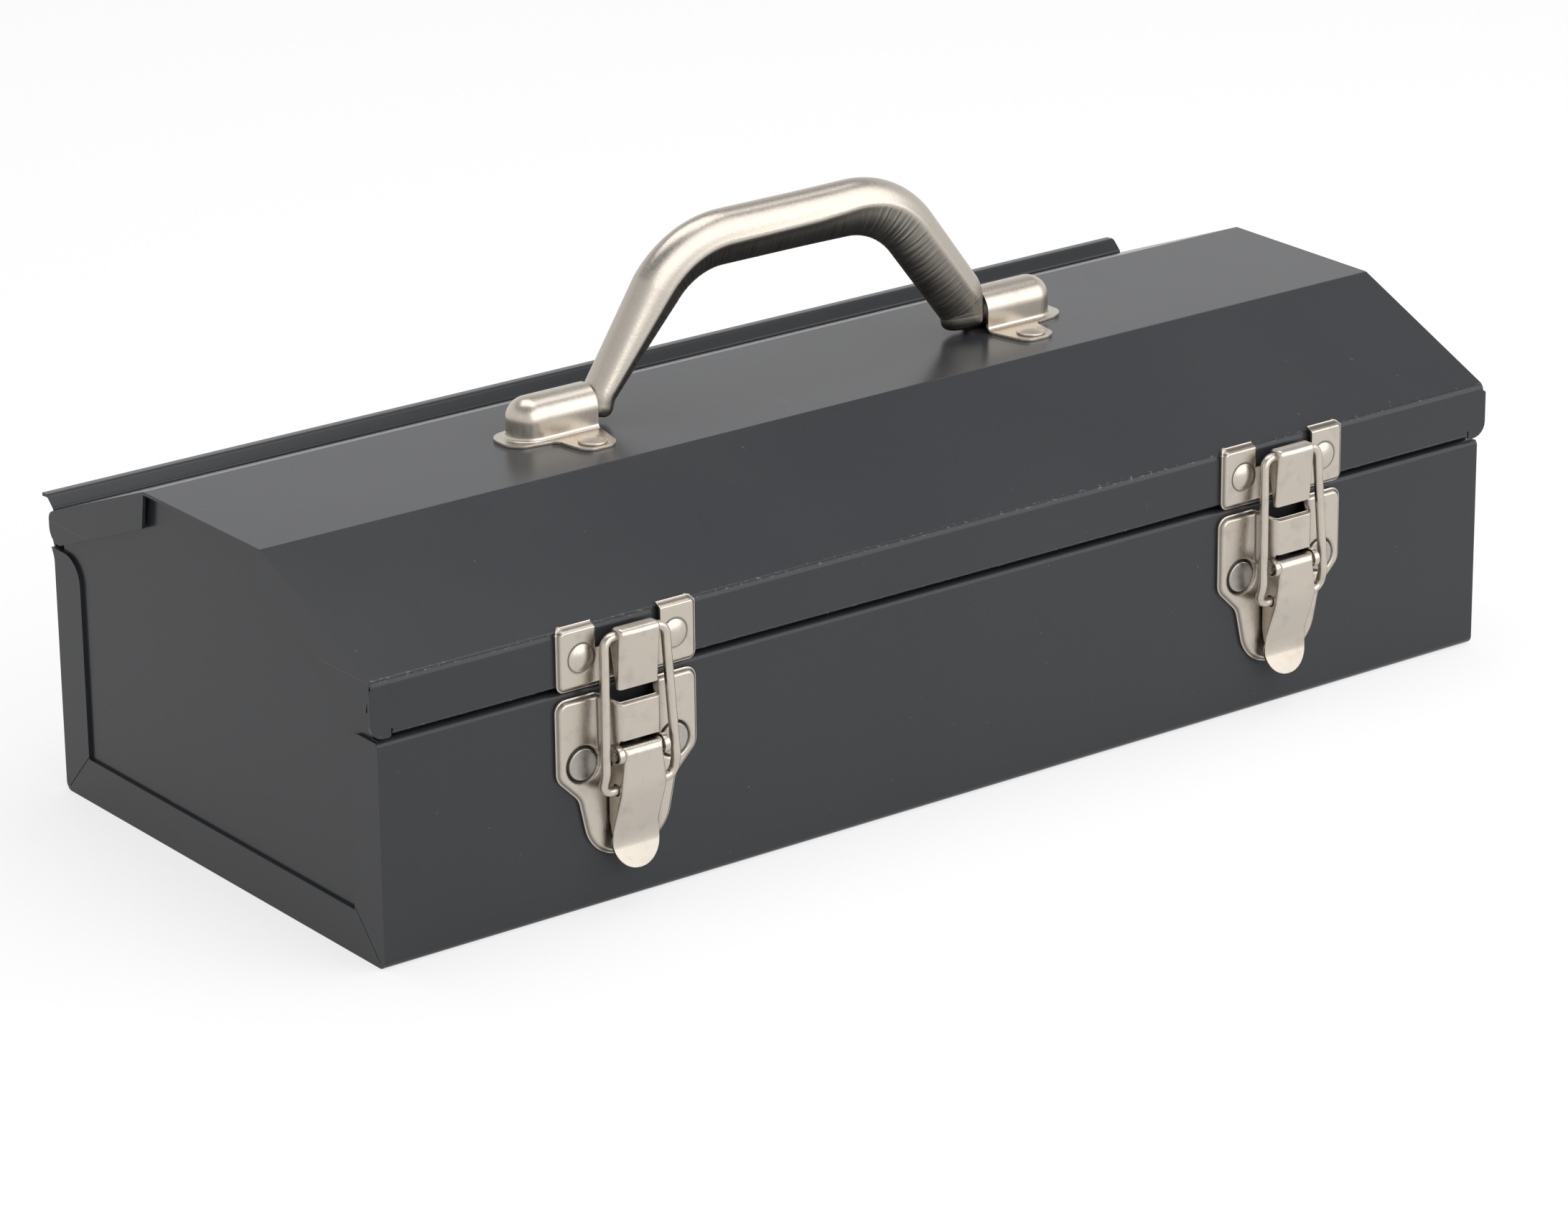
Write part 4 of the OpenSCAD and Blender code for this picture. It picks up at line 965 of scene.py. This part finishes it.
def bracket_outline():
    """The flange from the mouth of the hood, round the ear, the nose and the other ear."""
    half = [(HOOD_IN, HOOD_R + MOUTH_OUT), (EAR_X - EAR_HALF, EAR_Y + EAR_OUT),
            (EAR_X + EAR_HALF, EAR_Y + EAR_OUT),
            (EAR_X + EAR_HALF + EAR_SPREAD, HOOD_R + NECK_OUT), (HOOD_OUT + NOSE_OUT, HOOD_R)]
    corners = half + [(x, -y) for x, y in half[::-1]]
    return even_path(round_corners(corners, BRACKET_BENDS + BRACKET_BENDS[::-1], 14), 420)


def bracket_grid(sign):
    """Rows follow the flange's outline. Each row starts on the hood's crown line and goes down its
    round side, its wall and its fillet, and out over the flange to the outline."""
    outline = bracket_outline()
    spine_x = np.clip(outline[:, 0], HOOD_IN, HOOD_NOSE)
    reach = np.hypot(outline[:, 0] - spine_x, outline[:, 1])
    direction = np.stack([outline[:, 0] - spine_x, outline[:, 1]], axis=-1) / reach[:, None]
    over = np.linspace(math.pi / 2.0, 0.0, 26)
    fillet = np.linspace(0.0, math.pi / 2.0, 9)[1:]
    flange_z = ROOF_Z + FLANGE_T
    wall_z = np.linspace(HANDLE_Z, flange_z + FILLET_R, 8)[1:]
    radius = np.concatenate([HOOD_R * np.cos(over), np.full(len(wall_z), HOOD_R),
                             HOOD_R + FILLET_R * (1.0 - np.cos(fillet))])
    radius[0] = 0.0
    out = np.linspace(0.0, 1.0, 15)[1:]
    foot = HOOD_R + FILLET_R
    flange = foot + (np.maximum(reach[:, None], foot + 0.15) - foot) * out
    distance = np.append(np.repeat(radius[None, :], len(reach), axis=0), flange, axis=1)
    z = np.concatenate([HANDLE_Z + HOOD_R * np.sin(over), wall_z,
                        flange_z + FILLET_R * (1.0 - np.sin(fillet)),
                        np.full(len(out), flange_z)])
    x = sign * (spine_x[:, None] + direction[:, :1] * distance)
    y = direction[:, 1:] * distance
    points = np.stack([x, y, np.broadcast_to(z, x.shape)], axis=-1)
    return grid(points, flip=sign > 0)


for side, sign in SIDES:
    make_piece("hood_bracket_" + side, [bracket_grid(sign)], BRACKET_NICKEL, "lid",
               ["handle_bracket_" + side], BRACKET_SHEET, FORMED_EDGE)
    heads = [turned(EAR_RIVET, (sign * EAR_X, row * EAR_Y, ROOF_Z - 1.0), "+Z")
             for row in (-1.0, 1.0)]
    make_piece("bracket_rivets_" + side, heads, LATCH_NICKEL, "lid", ["handle_rivets_" + side])

# Handle
# Nickel-plated steel sheet formed to a hollow oval. Its lower half is drawn in below a soft ridge,
# brushed across its length, darkened with painted shade, and wrinkled on the inside of the bends.
LEG_X, GRIP_X, GRIP_RISE = 66.5, 37.0, 40.45
GRIP_HALF_W, GRIP_HALF_T = 6.0, 8.4
HANDLE_PATH = ((-LEG_X - 1.6, -3.9), (-LEG_X - 0.2, 2.0), (-GRIP_X, GRIP_RISE),
               (GRIP_X + 0.9, GRIP_RISE), (LEG_X + 0.6, 2.0), (LEG_X + 1.0, -4.6))
HANDLE_BENDS = (6.0, 30.0, 30.0, 6.0)
FOOT_REACH, FOOT_LOW_R = 71.2, 6.1
FOOT_ROUND, FOOT_SMALL = 3.2, 0.62
LEG_THICK, LEG_WIDE = 0.55, 0.90
RIGHT_LEG_THICKER, RIGHT_GRIP_THICKER = 0.41, 0.05
RIGHT_FROM, RIGHT_RUN, GROWN_AT = 0.5, 0.25, 0.72
RIDGE_AT = ((0.25, 0.55, 0.72, 0.9), (-6.0, 2.0, 19.0, 22.0))
RIDGE_OUT, RIDGE_WIDTH = 0.30, 0.13
DRAWN_IN = 0.30
RIGHT_BEND, LEFT_BEND = (1.0, 0.73, 11.0), (0.45, 0.27, 10.0)
WRINKLES = ((1.0, 3.1, 0.4), (0.7, 4.7, 1.9), (0.5, 2.1, 4.0))
WRINKLE_LEAST, WRINKLE_MORE = 0.012, 0.034
FOOT_SHADE, FOOT_TOP, FOOT_FADE = 1.6, 7.0, 6.0
TRUNNION_R = 5.2
HANDLE_WARM = (0.50, 0.445, 0.385, 1.0)
HANDLE_COOL = (0.445, 0.415, 0.37, 1.0)
# Painted shade: the streaky dark colour under the handle and at its right foot, where the brushing
# runs across it.
HANDLE_UNDER_SHADE = (0.20, 0.187, 0.165, 1.0)
ACROSS_LINES = (1500.0, 90.0, 0.0)
HANDLE_ROUGHNESS = (0.25, 0.38)
HANDLE_PATCHES, HANDLE_FINE = 70.0, 1500.0
HANDLE_DEPTH, HANDLE_STRENGTH = 0.00008, 0.35


def handle_metal():
    """Satin nickel. The stored values give the way along the handle, the way round it, and how much
    painted shade a point gets: under the handle and at its right foot. There, streaks run across
    the handle and the painted shade darkens the metal."""
    material, tree, shader, place = new_material("satin_nickel_handle")
    way, under = stored_shade_and_streaks(tree)
    patches = noise(tree, place, HANDLE_PATCHES, 3.0)
    across = noise(tree, stretch(tree, way, ACROSS_LINES), 1.0, 3.0, BRUSH_ROUGH)
    dark = arithmetic(tree, "MULTIPLY", band(tree, across, MOST_NOISE, (1.0, 0.45)), under)
    colour = blend_colour(tree, patches, HANDLE_WARM, HANDLE_COOL)
    grain = blend_colour(tree, under, noise(tree, place, HANDLE_FINE), across)
    dress(tree, shader, blend_colour(tree, dark, colour, HANDLE_UNDER_SHADE),
          band(tree, grain, WIDE_NOISE, HANDLE_ROUGHNESS),
          relief(tree, grain, HANDLE_DEPTH, HANDLE_STRENGTH), 1.0)
    return material


def handle_grid():
    """An oval carried along legs and grip. It tapers to the left foot and stays broad to the right
    one, its lower half is drawn in towards a blunt keel, and waves of 1.5 to 3 mm pucker the inside
    of the bends. The feet are flat beside the hoods, and round below the pivot, to swing free."""
    flat = even_path(round_corners(HANDLE_PATH, HANDLE_BENDS, 24), 460)
    along = np.linspace(0.0, 1.0, len(flat))
    run = along * np.linalg.norm(np.diff(flat, axis=0), axis=1).sum()
    outward = quarter_left(headings(flat))
    grow = np.clip(np.maximum(flat[:, 1], 0.0) / (GRIP_RISE * GROWN_AT), 0.0, 1.0)
    from_end = np.clip(np.minimum(run, run[-1] - run) / FOOT_ROUND, 0.0, 1.0)
    foot = np.sqrt(np.clip(1.0 - (1.0 - from_end) ** 2, 0.04, 1.0))
    foot = FOOT_SMALL + (1.0 - FOOT_SMALL) * foot
    to_right = smooth_step((along - RIGHT_FROM) / RIGHT_RUN)
    broad = LEG_THICK + (1.0 - LEG_THICK) * grow
    broad += to_right * (RIGHT_LEG_THICKER * (1.0 - grow) + RIGHT_GRIP_THICKER)
    thick = (GRIP_HALF_T * broad * foot)[:, None]
    wide = (GRIP_HALF_W * (LEG_WIDE + (1.0 - LEG_WIDE) * grow) * foot)[:, None]
    angle = np.linspace(0.0, 2.0 * math.pi, 72, endpoint=False)[None, :]
    sine, cosine = np.sin(angle), np.cos(angle)
    fold = np.interp(run, run[-1] * np.array(RIDGE_AT[0]), RIDGE_AT[1])
    fold = np.sin(np.radians(fold))[:, None]
    below = np.clip((fold - sine) / (1.0 + fold), 0.0, 1.0)
    keel = (grow ** 0.7 * (1.0 - to_right) + to_right)[:, None]
    draw_in = 1.0 - DRAWN_IN * keel * below ** 0.9
    ridge = bell(sine, RIDGE_OUT * keel, fold, RIDGE_WIDTH)
    side = cosine * wide * draw_in + np.sign(cosine) * ridge
    rise = sine * thick
    bend = sum(bell(run, most, run[-1] * at, width) for most, at, width in (RIGHT_BEND, LEFT_BEND))
    under_band = smooth_step((below - 0.04) / 0.14)
    wave = ((WRINKLE_LEAST + WRINKLE_MORE * bend) * waves(run, WRINKLES))[:, None] * under_band
    side += np.sign(cosine) * wave * np.abs(cosine) ** 0.5
    rise -= wave * 0.5
    x = np.clip(flat[:, :1] + outward[:, :1] * rise, -FOOT_REACH, FOOT_REACH)
    height = flat[:, 1:] + outward[:, 1:] * rise
    pull = np.minimum(1.0, FOOT_LOW_R / np.maximum(np.hypot(side, height), 0.1))
    pull = np.where(height < 0.0, pull, 1.0)
    points = np.stack([x, side * pull, HANDLE_Z + height * pull], axis=-1)
    # Painted shade: the right foot is darkened near its hood, like the drawn-in lower half.
    at_foot = to_right * smooth_step((FOOT_TOP - flat[:, 1]) / FOOT_FADE)
    at_foot = FOOT_SHADE * at_foot[:, None]
    around = np.abs((angle / (2.0 * math.pi) + 0.25) % 1.0 - 0.5)
    shade_and_streaks = np.broadcast_arrays(run[:, None] * MM, around * 0.04, np.maximum(under_band, at_foot))
    return grid(points, wrap=True, ends=True, shade_and_streaks=np.stack(shade_and_streaks, axis=-1))


def trunnion_grid(sign):
    """The round end that turns in the hood: a plain cylinder with a rounded outer rim."""
    reach = np.append(FOOT_REACH - 0.5, HOOD_NOSE - np.array([1.2, 0.6, 0.1, 0.0]))
    radius = TRUNNION_R - np.array([0.0, 0.0, 0.15, 0.7, 1.4])
    angle = np.linspace(0.0, 2.0 * math.pi, 48, endpoint=False)
    y, z = radius[:, None] * np.cos(angle), HANDLE_Z + radius[:, None] * np.sin(angle)
    x = np.repeat(sign * reach[:, None], len(angle), axis=1)
    return grid(np.stack([x, y, z], axis=-1), wrap=True, ends=True, flip=sign < 0)


make_piece("carrying_handle", [handle_grid(), trunnion_grid(-1.0), trunnion_grid(1.0)],
           handle_metal(), "handle", ["handle"])
